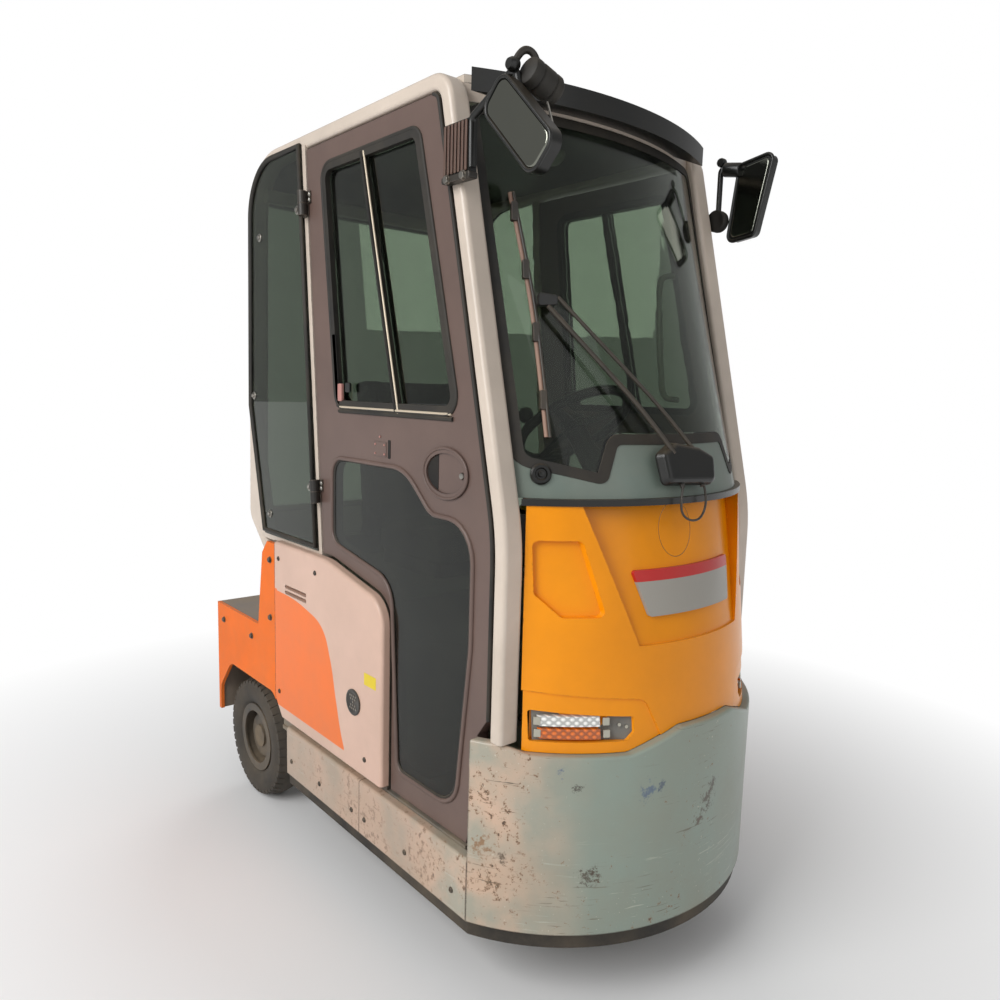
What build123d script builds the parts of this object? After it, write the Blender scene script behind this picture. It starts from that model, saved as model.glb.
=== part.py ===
from build123d import *
from math import atan2, cos, degrees, radians, sin, sqrt
import os

os.makedirs("parts", exist_ok=True)

# Millimetres. Depths run back from the front of the nose, heights up from the floor.
# X runs to the left-hand side of the vehicle, so the entry side of the photograph is at negative X.
TAIL_DEPTH = 1800.0
JAW_REACH = 100.0
LENGTH = TAIL_DEPTH + JAW_REACH
NOSE = -LENGTH / 2
HALF_WIDTH = 495.0
CAB_STEP = 28.0
CAB_HALF_WIDTH = HALF_WIDTH - CAB_STEP
NOSE_BOW = 302.8
NOSE_RADIUS = (HALF_WIDTH**2 + NOSE_BOW**2) / (2 * NOSE_BOW)
SEAT_GAP = 0.3
SEAM = 1.5
DOOR_GAP = 7.0

# Levels of the body
SKIRT_BOTTOM = 175.0
BODY_BOTTOM = 212.0
SILL_TOP = 366.0
FLOOR_LEVEL = 330.0
FLOOR_WALL = 12.0
DECK_TOP = 655.0

# Front bumper: a thick bent plate with a raised middle between the headlamps
BUMPER_WALL = 22.0
BUMPER_CREST = 690.0
BUMPER_DIP = 643.0
BUMPER_CORNER = 661.0
CREST_HALF = 95.0
CREST_FOOT_HALF = 225.0
DIP_HALF = 410.0
CORNER_HALF = 450.0
WAVE_RADIUS = 30.0
BUMPER_EDGE = 7.0

# Rubber skirt under the bumper and the sills
SKIRT_INSET = 9.0
SKIRT_WALL = 18.0

# Sills: two bolted plates on each side
SILL_WALL = 14.0
SILL_FLANGE = 26.0
SILL_JOINT = 790.0
SILL_END = 1238.0
SILL_EDGE = 8.0

# Rear wheel arch
ARCH_FRONT = 1240.0
ARCH_REAR = 1782.0
ARCH_TOP = 452.0
ARCH_SHOULDER = 340.0
ARCH_SLOPE = 95.0
ARCH_RADIUS = 55.0

# Rear fenders
FENDER_WALL = 12.0
FENDER_FRONT = 1318.0
FENDER_TOP = 948.0
FENDER_STEP = 1372.0
FENDER_WAIST_HEIGHT = 905.0
FENDER_WAIST = 1410.0
DECK_FRONT = 1447.0
TAIL_FOOT = 250.0

# Side panels over the battery bay
PANEL_WALL = 26.0
PANEL_FRONT = 678.0
PANEL_BOTTOM = 388.0
PANEL_TOP = 956.0
PANEL_SHOULDER = 893.0
PANEL_EDGE = 10.0
PANEL_CROWN_DEPTH = 985.0
PANEL_CROWN_RADIUS = 250.0
PANEL_SHOULDER_RADIUS = 85.0
PANEL_REAR = FENDER_FRONT - SEAM
SLOT_DEPTH = 1172.0
SLOT_LENGTH = 140.0
SLOT_LOW = 807.0
SLOT_PITCH = 18.0
SLOT_HEIGHT = 10.0
SLOT_CORNER = 4.0

# Chassis: rails, battery bay, wheel tub and rear frame
RAIL_WIDTH = 60.0
RAIL_HEIGHT = 100.0
RAIL_REAR = 1230.0
THRESHOLD_WIDTH = 34.0
BAY_WALL = 12.0
BAY_INSET = 10.0
BAY_TOP = PANEL_TOP - BAY_INSET
BAY_STEP = 700.0
BAY_REAR = 1302.0
FRAME_WALL = 12.0
FRAME_BOTTOM = 128.0
FRAME_SADDLE_HALF = 80.0
HOUSE_LEVEL = 462.0
HOUSE_WALL = 8.0
DECK_WALL = 12.0
TAIL_WALL = 12.0

# Battery, seat console and rear hood
BATTERY_LENGTH = 540.0
BATTERY_SIDE_ROOM = 69.0
BATTERY_HEIGHT = 500.0
BATTERY_FRONT = 742.0
CONSOLE_WALL = 10.0
CONSOLE_FRONT = 715.0
CONSOLE_TOP = 885.0
HOOD_WALL = 10.0

# Cab hoops: a rounded tube on each side, from the bumper over the roof to the hood
HOOP_WIDTH = 57.0
HOOP_DEPTH = 40.0
HOOP_ROUND = 12.0
HOOP_FOOT_DEPTH = 250.0
HOOP_KNEE_HEIGHT = 1129.0
HOOP_KNEE_RADIUS = 600.0
CAB_TOP = 2158.0
HOOP_HEAD_DEPTH = 490.0
HOOP_HEAD_RADIUS = 55.0
HOOP_REAR_TOP_DEPTH = 1524.0
HOOP_REAR_RADIUS = 170.0
HOOP_REAR_LOW_DEPTH = 1553.0
HOOP_REAR_LOW_HEIGHT = 1012.0
HOOP_HEEL_RADIUS = 45.0
HOOP_HEEL_DEPTH = 1395.0
HOOP_HEEL_HEIGHT = 868.0
HEADER_LEVEL = 2100.0
HEADER_STEP = 27.0
REAR_HEADER_INSET = 52.0
REAR_HEADER_DROP = 98.0
REAR_BAR = 24.0
REAR_BAR_INSET = 4.0
ROOF_JOIN = 560.0
VISOR_STEP = 42.0
SEAL_PROUD = 2.0
SCREEN_RADII = [40.0, 45.0, 25.0, 20.0]

# Frame of the quarter window
POST_WALL = 30.0
POST_TOP_DEPTH = 1153.0
POST_BOTTOM_DEPTH = 1052.0
POST_WIDTH = 32.0
WAIST_RAIL = 30.0
QUARTER_FOOT_DEPTH = 1423.0
QUARTER_ELBOW_DEPTH = 1528.0
QUARTER_ELBOW_HEIGHT = 1390.0
QUARTER_OVERLAP = 12.0
QUARTER_GLASS = 5.0

# Windscreen: its plan bow opens towards the roof
SCREEN_LOW = 1215.0
SCREEN_HIGH = 2098.0
SCREEN_LOW_RADIUS = 560.0
SCREEN_HIGH_RADIUS = 1000.0
SCREEN_WALL = 8.0
SEAL_WALL = 12.0
SEAL_WIDTH = 24.0
SCREEN_CORNER = 1288.0
SCREEN_DIP = 1245.0
SCREEN_DIP_HALF = 238.0
COWL_HUMP_HALF = 195.0
COWL_HUMP = 1335.0

# Apron and the black band over it
APRON_LOW = 640.0
APRON_HIGH = 1199.7
APRON_LOW_FRONT = 14.0
APRON_HIGH_FRONT = 85.0
APRON_LOW_RADIUS = 539.0
APRON_HIGH_RADIUS = 585.0
APRON_LOW_STEP = 75.0
APRON_HIGH_STEP = 96.0
APRON_LOW_HALF = HALF_WIDTH - APRON_LOW_STEP
APRON_HIGH_HALF = HALF_WIDTH - APRON_HIGH_STEP
APRON_WALL = 26.0
BAND_HEIGHT = 15.0
BAND_WALL = 30.0
BAND_PROUD = 4.0

# Scoop in the middle of the apron, with the blank plate on its floor
SCOOP_LOW = 882.0
SCOOP_LOW_HALF = 187.0
SCOOP_HIGH_HALF = 298.0
SCOOP_LOW_DEPTH = 52.0
SCOOP_HIGH_DEPTH = 128.0
SCOOP_LOW_RADIUS = 558.0
SCOOP_WALL = 12.0
PLATE_LOW = 945.0
PLATE_HEIGHT = 105.0
PLATE_LOW_HALF = 152.0
PLATE_HIGH_HALF = 182.0
PLATE_WALL = 8.0
PLATE_CORNER = 8.0

# Pockets and headlamps of the apron
POCKET_DEPTH = 14.0
POCKET_OUTER = 391.0
POCKET_INNER = 300.0
POCKET_FOOT = 258.0
POCKET_FOOT_OUTER = 345.0
POCKET_HIGH = 1123.0
POCKET_LOW = 951.0
POCKET_SHOULDER = 1003.0
POCKET_CORNER = 14.0
LAMP_PANEL_DEPTH = 4.0
LAMP_PANEL_OUTER = 430.0
LAMP_PANEL_HIGH = 787.0
LAMP_PANEL_BEND = 179.0
LAMP_PANEL_BEND_LEVEL = 761.0
LAMP_PANEL_FOOT = 128.0
LAMP_PANEL_CORNER = 30.0
LAMP_DEPTH = 20.0
LAMP_LOW = 669.0
LAMP_HIGH = 741.0
LAMP_STEP = 16.0
LAMP_OUTER = APRON_LOW_HALF - LAMP_STEP
LAMP_INNER = 205.0
LAMP_RAKE = 18.0
LAMP_CORNER = 6.0
LAMP_FACE = 7.0
LAMP_BAR = 108.0
LAMP_BAR_STEP = 20.0
LAMP_BAR_OUTER = LAMP_OUTER - LAMP_BAR_STEP
LAMP_BAR_HEIGHT = 23.0
LAMP_WHITE_LOW = 704.0
LAMP_AMBER_LOW = 675.0

# Roof and visor
ROOF_WALL = 18.0
VISOR_FRONT = 345.0
VISOR_RADIUS = 1000.0
VISOR_WALL = 48.0
VISOR_HEIGHT = 50.0
HEADER_WALL = 35.0

# Doors
DOOR_WALL = 32.0
DOOR_BOTTOM = 380.0
DOOR_BOTTOM_FRONT = 342.0
DOOR_KICK_DEPTH = 309.0
DOOR_KICK_HEIGHT = 529.0
DOOR_CHEEK_FOOT = 662.0
DOOR_CHEEK_TOP = 743.0
WINDOW_SILL = 1388.0
WINDOW_TOP = 2055.0
WINDOW_SILL_FRONT = 400.0
WINDOW_SILL_REAR = 968.0
WINDOW_TOP_FRONT = 578.0
WINDOW_TOP_REAR = 1056.0
WINDOW_CORNER = 45.0
WINDOW_FRAME = 22.0
WINDOW_FRAME_PROUD = 3.0
WINDOW_BAR = 16.0
WINDOW_BAR_TOP = 832.0
WINDOW_BAR_FOOT = 651.0
WINDOW_GLASS = 5.0
WINDOW_GLASS_INSET = 12.0
LOWER_GLASS_REAR = 990.0
LOWER_GLASS_TOP = 1250.0
LOWER_GLASS_BROW = 1150.0
LOWER_GLASS_FRONT = 339.0
LOWER_GLASS_KNEE = 860.0
LOWER_GLASS_BOTTOM = 445.0
LOWER_GLASS_TOE = 385.0
LOWER_GLASS_HEEL = 640.0
LOWER_GLASS_SHIN = 676.0
LOWER_GLASS_STEP = 948.0
LOWER_GLASS_SEAT = 1005.0
LOWER_GLASS_SHOULDER = 620.0
LOWER_GLASS_CHEST = 505.0
LOWER_GLASS_LIP = 8.0
LOWER_GLASS_RADII = [50.0, 150.0, 60.0, 95.0, 250.0, 80.0, 35.0, 85.0, 50.0]

# Door hinges and door handle
HINGE_REACH = 18.0
HINGE_PIN_RADIUS = 6.0
HINGE_BARREL_RADIUS = 13.0
HINGE_PIN_PLAY = 0.1
HINGE_LEAF = 4.0
HINGE_LEAF_LENGTH = 22.0
HINGE_KNUCKLE = 34.0
HINGE_AXIAL_GAP = 1.0
HINGE_LOW = 1143.0
HINGE_HIGH = 1960.0
HANDLE_DEPTH = 450.0
HANDLE_HEIGHT = 1254.0
HANDLE_HALF = 84.0
HANDLE_RISE = 57.0
HANDLE_RIM = 10.0
HANDLE_RIM_PROUD = 4.0
HANDLE_CUP = 22.0
HANDLE_PADDLE = 112.0
HANDLE_PADDLE_WALL = 6.0

# Wheels
TYRE_RADIUS = 208.5
TYRE_WIDTH = 106.0
RIM_RADIUS = 105.0
WHEEL_DEPTH = 1561.0
WHEEL_SETBACK = 29.0
WHEEL_OUTER_FACE = HALF_WIDTH - WHEEL_SETBACK
WHEEL_SIDE_ROOM = 18.0
FRAME_HALF = WHEEL_OUTER_FACE - TYRE_WIDTH - WHEEL_SIDE_ROOM
AXLE_RADIUS = 52.0
STEER_DEPTH = 385.0
STEER_PIN_RADIUS = 28.0
STEER_PIN_PLAY = 0.1
TUB_RADIUS = 236.0
TUB_WALL = 6.0
TUB_TOP = 470.0
STEER_BOSS_RADIUS = 58.0
STEER_BOSS_HEIGHT = 30.0

FORK_GAP = 12.0
FORK_WALL = 16.0
FORK_WIDTH = 92.0
FORK_CROWN = 110.0
FORK_CROWN_LOW = 432.0
FORK_CROWN_TOP = 458.0
STEER_PIN_TOP = 512.0
STEER_CAP = 42.0
STEER_CAP_HEIGHT = 10.0
FRONT_AXLE_RADIUS = 20.0
FRONT_AXLE_PLAY = 0.1
FRONT_NUT = 30.0
FRONT_NUT_HEIGHT = 16.0
FRONT_HUB = 44.0
FRONT_HUB_WIDTH = 118.0
REAR_HUB = 72.0
REAR_HUB_WIDTH = 50.0
RIM_WIDTH = 92.0
RIM_WALL = 7.0
RIM_WEB = 10.0
RIM_FLANGE = 13.0
TYRE_SHOULDER = 16.0
TYRE_CROWN = 6.0
TYRE_BEAD = 12.0
STUB_RADIUS = 38.0
STUB_PLAY = 0.1
STUB_INSET = 20.0
STUB_END = WHEEL_OUTER_FACE - STUB_INSET
GEARBOX_RADIUS = 105.0
GEARBOX_WIDTH = 190.0
MOTOR_RADIUS = 84.0
MOTOR_FRONT = 1330.0
MOTOR_LEVEL = 232.0

# Steering column, dashboard and steering wheel
WHEEL_RIM_RADIUS = 160.0
WHEEL_RIM_TUBE = 13.0
WHEEL_TILT = 38.0
WHEEL_CENTRE_DEPTH = 500.0
WHEEL_CENTRE_HEIGHT = 1360.0
WHEEL_HUB_RADIUS = 36.0
WHEEL_HUB_HEIGHT = 34.0
SPOKE_WIDTH = 26.0
SPOKE_WALL = 8.0
COLUMN_RADIUS = 30.0
COLUMN_LENGTH = 310.0
COLUMN_GAP = 2.0
SHAFT_RADIUS = 12.0
SHAFT_LENGTH = 24.0
SHAFT_PLAY = 0.1
DASH_FRONT = 158.0
DASH_RADIUS = 560.0
DASH_SIDE_ROOM = 75.0
DASH_HALF = CAB_HALF_WIDTH - DASH_SIDE_ROOM
DASH_REAR = 405.0
DASH_LOW = 1085.0
DASH_TOP = 1170.0
DASH_LIP = 10.0
DASH_FLOOR = 40.0
PEDESTAL_HALF = 135.0
PEDESTAL_FRONT = 286.0
PEDESTAL_REAR = 470.0
PEDESTAL_WALL = 8.0

# Seat
SEAT_HALF = 230.0
SEAT_FRONT = 800.0
SEAT_REAR = 1185.0
SEAT_LOW = 930.0
SEAT_TOP = 1015.0
SEAT_BASE_HALF = 190.0
SEAT_BASE_FRONT = 850.0
SEAT_BASE_REAR = 1160.0
SEAT_ROUND = 25.0
BACK_HALF = 220.0
BACK_FRONT = SEAT_REAR + SEAT_GAP
BACK_BEND = 990.0
BACK_WALL = 90.0
BACK_TOP = 1480.0
BACK_LEAN = 45.0

# Tow coupling and its pin
JAW_LEVEL = 400.0
JAW_GAP = 70.0
JAW_PLATE = 16.0
JAW_HALF = 75.0
JAW_BACK = 18.0
JAW_ROUND = 30.0
JAW_PIN_SETBACK = 45.0
PIN_RADIUS = 14.0
PIN_PLAY = 0.05
PIN_FOOT = 24.0
PIN_NECK = 60.0
PIN_RING = 26.0
PIN_RING_TUBE = 6.0

# Rear lamps
REAR_LAMP_WIDTH = 90.0
REAR_LAMP_HEIGHT = 52.0
REAR_LAMP_WALL = 24.0
REAR_LAMP_STEP = 25.0
REAR_LAMP_OUTER = HALF_WIDTH - REAR_LAMP_STEP
REAR_LAMP_CORNER = 12.0
REAR_LAMP_LOW = 560.0

# Right mirror: a clamp, a bent tube and a rounded head
CLAMP_LOW = 1911.0
CLAMP_HIGH = 2019.0
CLAMP_FRONT = 360.0
CLAMP_REAR = 450.0
CLAMP_WALL = 22.0
MIRROR_TUBE = 8.0
MIRROR_HEAD_DEPTH = 185.0
MIRROR_HEAD_HEIGHT = 1965.0
MIRROR_HEAD_LENGTH = 225.0
MIRROR_HEAD_WIDTH = 92.0
MIRROR_HEAD_WALL = 26.0
MIRROR_HEAD_ROUND = 28.0
MIRROR_HEAD_TILT = -45.0
MIRROR_ARM_KNEE = 362.0
MIRROR_ARM_FRONT = 225.0
MIRROR_ARM_TOP = 2085.0
# Left mirror: a round boot on the hoop, an upright tube and a head that narrows downwards
BOOT_DEPTH = 415.0
BOOT_HEIGHT = 1958.0
BOOT_RADIUS = 27.0
BOOT_LENGTH = 28.0
LEFT_TUBE_LOW = 1930.0
LEFT_TUBE_TOP = 2112.0
LEFT_TUBE_END_DEPTH = 330.0
LEFT_TUBE_END_HEIGHT = 2092.0
LEFT_HEAD_FRONT = 241.0
LEFT_HEAD_REAR = 352.0
LEFT_HEAD_TOP = 2124.0
LEFT_HEAD_SHOULDER = 2105.0
LEFT_HEAD_LOW_FRONT = 290.0
LEFT_HEAD_LOW_REAR = 379.0
LEFT_HEAD_LOW = 1905.0
LEFT_HEAD_HEEL = 1893.0
LEFT_HEAD_ROUND = 18.0


def side(x):
    """Plane along the vehicle at x: its first axis is depth behind the nose, its second is height."""
    return Plane(origin=(x, NOSE, 0), x_dir=(0, 1, 0), z_dir=(1, 0, 0))


def station(depth):
    """Plane across the vehicle at a depth, facing forward: its axes are X and height."""
    return Plane(origin=(0, NOSE + depth, 0), x_dir=(1, 0, 0), z_dir=(0, -1, 0))


def bow_end(front, radius, half):
    """Y at which a bow of the nose reaches the half width."""
    return NOSE + front + radius - sqrt(radius**2 - half**2)


def bow_strip(level, front, radius, half, wall):
    """Strip of a bow in plan, wall thick, with ends square to the vehicle."""
    rear = bow_end(front, radius, half)
    inner_half = sqrt((radius - wall) ** 2 - radius**2 + half**2)
    with BuildSketch(Plane.XY.offset(level)) as strip:
        with BuildLine():
            outer = ThreePointArc((-half, rear), (0, NOSE + front), (half, rear))
            inner = ThreePointArc((-inner_half, rear), (0, NOSE + front + wall), (inner_half, rear))
            Line(outer @ 0, inner @ 0)
            Line(outer @ 1, inner @ 1)
        make_face()
    return strip.sketch


def nose_plan(level, inset, rear):
    """Plan of the body from the nose back to the depth rear, pulled in by inset."""
    half = HALF_WIDTH - inset
    radius = NOSE_RADIUS - inset
    end = bow_end(inset, radius, half)
    with BuildSketch(Plane.XY.offset(level)) as plan:
        with BuildLine():
            bow = ThreePointArc((-half, end), (0, NOSE + inset), (half, end))
            Polyline(bow @ 1, (half, NOSE + rear), (-half, NOSE + rear), bow @ 0)
        make_face()
    return plan.sketch


def arch_profile():
    """Opening of the rear wheel arch in depth and height."""
    with BuildSketch() as arch:
        with BuildLine():
            FilletPolyline(
                (ARCH_FRONT, 0),
                (ARCH_FRONT, ARCH_SHOULDER),
                (ARCH_FRONT + ARCH_SLOPE, ARCH_TOP),
                (ARCH_REAR - ARCH_SLOPE, ARCH_TOP),
                (ARCH_REAR, ARCH_SHOULDER),
                (ARCH_REAR, 0),
                radius=ARCH_RADIUS,
                close=True,
            )
        make_face()
    return arch.sketch


def finish(piece, name):
    """Names a finished piece and writes it."""
    piece.part.label = name
    export_step(piece.part, "parts/" + name + ".step")


def above_bumper(gap):
    """All that lies above the bumper's wavy top edge seen from the front, lifted by gap."""
    with BuildSketch(station(0)) as wave:
        with BuildLine():
            edge = FilletPolyline(
                (0, BUMPER_CREST + gap),
                (CREST_HALF, BUMPER_CREST + gap),
                (CREST_FOOT_HALF, BUMPER_DIP + gap),
                (DIP_HALF, BUMPER_DIP + gap),
                (CORNER_HALF, BUMPER_CORNER + gap),
                (LENGTH, BUMPER_CORNER + gap),
                radius=WAVE_RADIUS,
            )
            Polyline(edge @ 1, (LENGTH, LENGTH), (0, LENGTH), edge @ 0)
        make_face()
        mirror(about=Plane.YZ)
    return wave.sketch


# Front bumper
with BuildPart() as front_bumper:
    extrude(
        bow_strip(BODY_BOTTOM, 0, NOSE_RADIUS, HALF_WIDTH, BUMPER_WALL),
        amount=BUMPER_CREST + BUMPER_WALL - BODY_BOTTOM,
    )
    extrude(above_bumper(0), amount=-LENGTH, mode=Mode.SUBTRACT)
    outer_face = front_bumper.faces().filter_by(GeomType.CYLINDER).sort_by(lambda f: f.area)[-1]
    fillet(outer_face.edges().filter_by(lambda e: e.center().Z > BUMPER_DIP - BUMPER_EDGE), BUMPER_EDGE)
finish(front_bumper, "front_bumper")

# Rubber skirt
with BuildPart() as bumper_skirt:
    extrude(
        nose_plan(SKIRT_BOTTOM, SKIRT_INSET, SILL_END),
        amount=BODY_BOTTOM - SEAT_GAP - SKIRT_BOTTOM,
    )
    extrude(
        nose_plan(SKIRT_BOTTOM, SKIRT_INSET + SKIRT_WALL, SILL_END + SKIRT_WALL),
        amount=BODY_BOTTOM - SKIRT_BOTTOM,
        mode=Mode.SUBTRACT,
    )
finish(bumper_skirt, "bumper_skirt")

# Sills
SILL_START = bow_end(0, NOSE_RADIUS, HALF_WIDTH) - NOSE + SEAM
with BuildPart() as sills:
    for start, end in ((SILL_START, SILL_JOINT - SEAM), (SILL_JOINT, SILL_END)):
        with BuildSketch(station(start)):
            with BuildLine():
                Polyline(
                    (HALF_WIDTH, BODY_BOTTOM),
                    (HALF_WIDTH, SILL_TOP),
                    (HALF_WIDTH - SILL_FLANGE, SILL_TOP),
                    (HALF_WIDTH - SILL_FLANGE, SILL_TOP - SILL_WALL),
                    (HALF_WIDTH - SILL_WALL, SILL_TOP - SILL_WALL),
                    (HALF_WIDTH - SILL_WALL, BODY_BOTTOM),
                    close=True,
                )
            make_face()
            mirror(about=Plane.YZ)
        extrude(amount=start - end)
    fillet(
        sills.edges().filter_by(Axis.Y).filter_by(
            lambda e: abs(e.center().X) > HALF_WIDTH - SEAM and e.center().Z > SILL_TOP - SEAM
        ),
        SILL_EDGE,
    )
finish(sills, "sills")

# Rear fenders
with BuildPart() as rear_fenders:
    with BuildSketch(side(-HALF_WIDTH)) as fender_side:
        with BuildLine():
            Polyline(
                (FENDER_FRONT, FENDER_TOP),
                (FENDER_STEP, FENDER_TOP),
                (FENDER_WAIST, FENDER_WAIST_HEIGHT),
                (DECK_FRONT, DECK_TOP),
                (TAIL_DEPTH, DECK_TOP),
                (TAIL_DEPTH, TAIL_FOOT),
                (FENDER_FRONT, TAIL_FOOT),
                close=True,
            )
        make_face()
        add(arch_profile(), mode=Mode.SUBTRACT)
    extrude(amount=FENDER_WALL)
    mirror(about=Plane.YZ)
finish(rear_fenders, "rear_fenders")


def panel_profile():
    """Outline of a side panel in depth and height."""
    with BuildSketch() as panel:
        with BuildLine():
            crown = FilletPolyline(
                (PANEL_REAR, PANEL_TOP),
                (PANEL_CROWN_DEPTH, PANEL_TOP),
                (PANEL_FRONT, PANEL_SHOULDER),
                (PANEL_FRONT, PANEL_BOTTOM),
                radius=[PANEL_CROWN_RADIUS, PANEL_SHOULDER_RADIUS],
            )
            Polyline(crown @ 1, (PANEL_REAR, PANEL_BOTTOM), crown @ 0)
        make_face()
    return panel.sketch


# Side panels over the battery bay
with BuildPart() as side_panels:
    with BuildSketch(side(-HALF_WIDTH)):
        add(panel_profile())
        add(arch_profile(), mode=Mode.SUBTRACT)
    extrude(amount=PANEL_WALL)
    outer_face = side_panels.faces().sort_by(Axis.X)[0]
    rim = outer_face.edges().filter_by(
        lambda e: e.center().Z > PANEL_BOTTOM + PANEL_EDGE and e.center().Y < NOSE + PANEL_REAR - PANEL_EDGE
    )
    fillet(rim, PANEL_EDGE)
    with BuildSketch(side(-HALF_WIDTH)):
        with Locations((SLOT_DEPTH, SLOT_LOW), (SLOT_DEPTH, SLOT_LOW + SLOT_PITCH)):
            RectangleRounded(SLOT_LENGTH, SLOT_HEIGHT, SLOT_CORNER)
    extrude(amount=PANEL_WALL, mode=Mode.SUBTRACT)
    mirror(about=Plane.YZ)
finish(side_panels, "side_panels")

# Chassis: floor, wheel tub, rails, bay walls and the rear frame in one welding
BAY_HALF = HALF_WIDTH - PANEL_WALL - SEAT_GAP
DECK_UNDERSIDE = DECK_TOP - DECK_WALL - SEAT_GAP
CROSS_REAR = BAY_REAR + BAY_WALL
FRAME_REAR = TAIL_DEPTH - TAIL_WALL - SEAT_GAP
with BuildPart() as chassis:
    extrude(nose_plan(FLOOR_LEVEL, BUMPER_WALL + SEAT_GAP, CROSS_REAR), amount=FLOOR_WALL)
    with BuildSketch(Plane.XY.offset(FLOOR_LEVEL)):
        with Locations((0, NOSE + STEER_DEPTH)):
            Circle(TUB_RADIUS + TUB_WALL)
    extrude(amount=TUB_TOP - FLOOR_LEVEL)
    with BuildSketch(Plane.XY.offset(FLOOR_LEVEL - TUB_WALL)):
        with Locations((0, NOSE + STEER_DEPTH)):
            Circle(TUB_RADIUS)
    extrude(amount=TUB_TOP - FLOOR_LEVEL, mode=Mode.SUBTRACT)
    # Bearing boss of the steered wheel on top of the tub
    with BuildSketch(Plane.XY.offset(TUB_TOP)):
        with Locations((0, NOSE + STEER_DEPTH)):
            Circle(STEER_BOSS_RADIUS)
    extrude(amount=STEER_BOSS_HEIGHT)
    with BuildSketch(Plane.XY.offset(FLOOR_LEVEL)):
        with Locations((0, NOSE + STEER_DEPTH)):
            Circle(STEER_PIN_RADIUS + STEER_PIN_PLAY)
    extrude(amount=LENGTH, mode=Mode.SUBTRACT)
    # Rails under the floor, inside the sills
    with BuildSketch(station(SILL_START)):
        with Locations((HALF_WIDTH - SILL_WALL - SEAT_GAP - RAIL_WIDTH / 2, FLOOR_LEVEL - RAIL_HEIGHT / 2)):
            Rectangle(RAIL_WIDTH, RAIL_HEIGHT)
        mirror(about=Plane.YZ)
    extrude(amount=SILL_START - RAIL_REAR)
    # Thresholds under the doors
    with BuildSketch(station(DOOR_BOTTOM_FRONT)):
        with Locations((BAY_HALF - THRESHOLD_WIDTH / 2, (FLOOR_LEVEL + DOOR_BOTTOM - DOOR_GAP) / 2)):
            Rectangle(THRESHOLD_WIDTH, DOOR_BOTTOM - DOOR_GAP - FLOOR_LEVEL)
        mirror(about=Plane.YZ)
    extrude(amount=DOOR_BOTTOM_FRONT - PANEL_FRONT - BAY_INSET)
    # Walls of the battery bay, which carry the side panels
    with BuildSketch(side(-BAY_HALF)):
        add(panel_profile())
        offset(amount=-BAY_INSET)
        with Locations((CROSS_REAR, FLOOR_LEVEL)):
            Rectangle(
                CROSS_REAR - PANEL_FRONT - BAY_INSET,
                BAY_STEP - FLOOR_LEVEL,
                align=(Align.MAX, Align.MIN),
            )
            Rectangle(CROSS_REAR - PANEL_CROWN_DEPTH, BAY_TOP - FLOOR_LEVEL, align=(Align.MAX, Align.MIN))
    extrude(amount=BAY_WALL)
    mirror(about=Plane.YZ)
    # Cross wall behind the battery
    with BuildSketch(station(BAY_REAR)):
        with Locations((0, (FLOOR_LEVEL + DECK_UNDERSIDE) / 2)):
            Rectangle(2 * BAY_HALF, DECK_UNDERSIDE - FLOOR_LEVEL)
    extrude(amount=-BAY_WALL)
    # Rear frame plates inside the wheels, with the saddles of the axle
    with BuildSketch(side(-FRAME_HALF)):
        with BuildLine():
            Polyline(
                (BAY_REAR, DECK_UNDERSIDE),
                (FRAME_REAR, DECK_UNDERSIDE),
                (FRAME_REAR, TAIL_FOOT),
                (WHEEL_DEPTH + FRAME_SADDLE_HALF, FRAME_BOTTOM),
                (WHEEL_DEPTH - FRAME_SADDLE_HALF, FRAME_BOTTOM),
                (BAY_REAR, FLOOR_LEVEL),
                close=True,
            )
        make_face()
        with Locations((WHEEL_DEPTH, TYRE_RADIUS)):
            Circle(AXLE_RADIUS + SEAT_GAP, mode=Mode.SUBTRACT)
    extrude(amount=FRAME_WALL)
    mirror(about=Plane.YZ)
    # Tops of the wheel houses
    with BuildSketch(Plane.XY.offset(HOUSE_LEVEL)):
        with BuildLine():
            house_outer = HALF_WIDTH - FENDER_WALL - SEAT_GAP
            Polyline(
                (-FRAME_HALF + FRAME_WALL, NOSE + BAY_REAR),
                (-BAY_HALF, NOSE + BAY_REAR),
                (-BAY_HALF, NOSE + FENDER_FRONT),
                (-house_outer, NOSE + FENDER_FRONT),
                (-house_outer, NOSE + FRAME_REAR),
                (-FRAME_HALF + FRAME_WALL, NOSE + FRAME_REAR),
                close=True,
            )
        make_face()
        mirror(about=Plane.YZ)
    extrude(amount=HOUSE_WALL)
finish(chassis, "chassis")

# Battery, one block between the bay walls
with BuildPart() as battery:
    with BuildSketch(Plane.XY.offset(FLOOR_LEVEL + FLOOR_WALL + SEAT_GAP)):
        with Locations((0, NOSE + BATTERY_FRONT + BATTERY_LENGTH / 2)):
            Rectangle(2 * (BAY_HALF - BATTERY_SIDE_ROOM), BATTERY_LENGTH)
    extrude(amount=BATTERY_HEIGHT)
    fillet(battery.edges().filter_by(Axis.Z), CONSOLE_WALL)
finish(battery, "battery")

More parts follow.
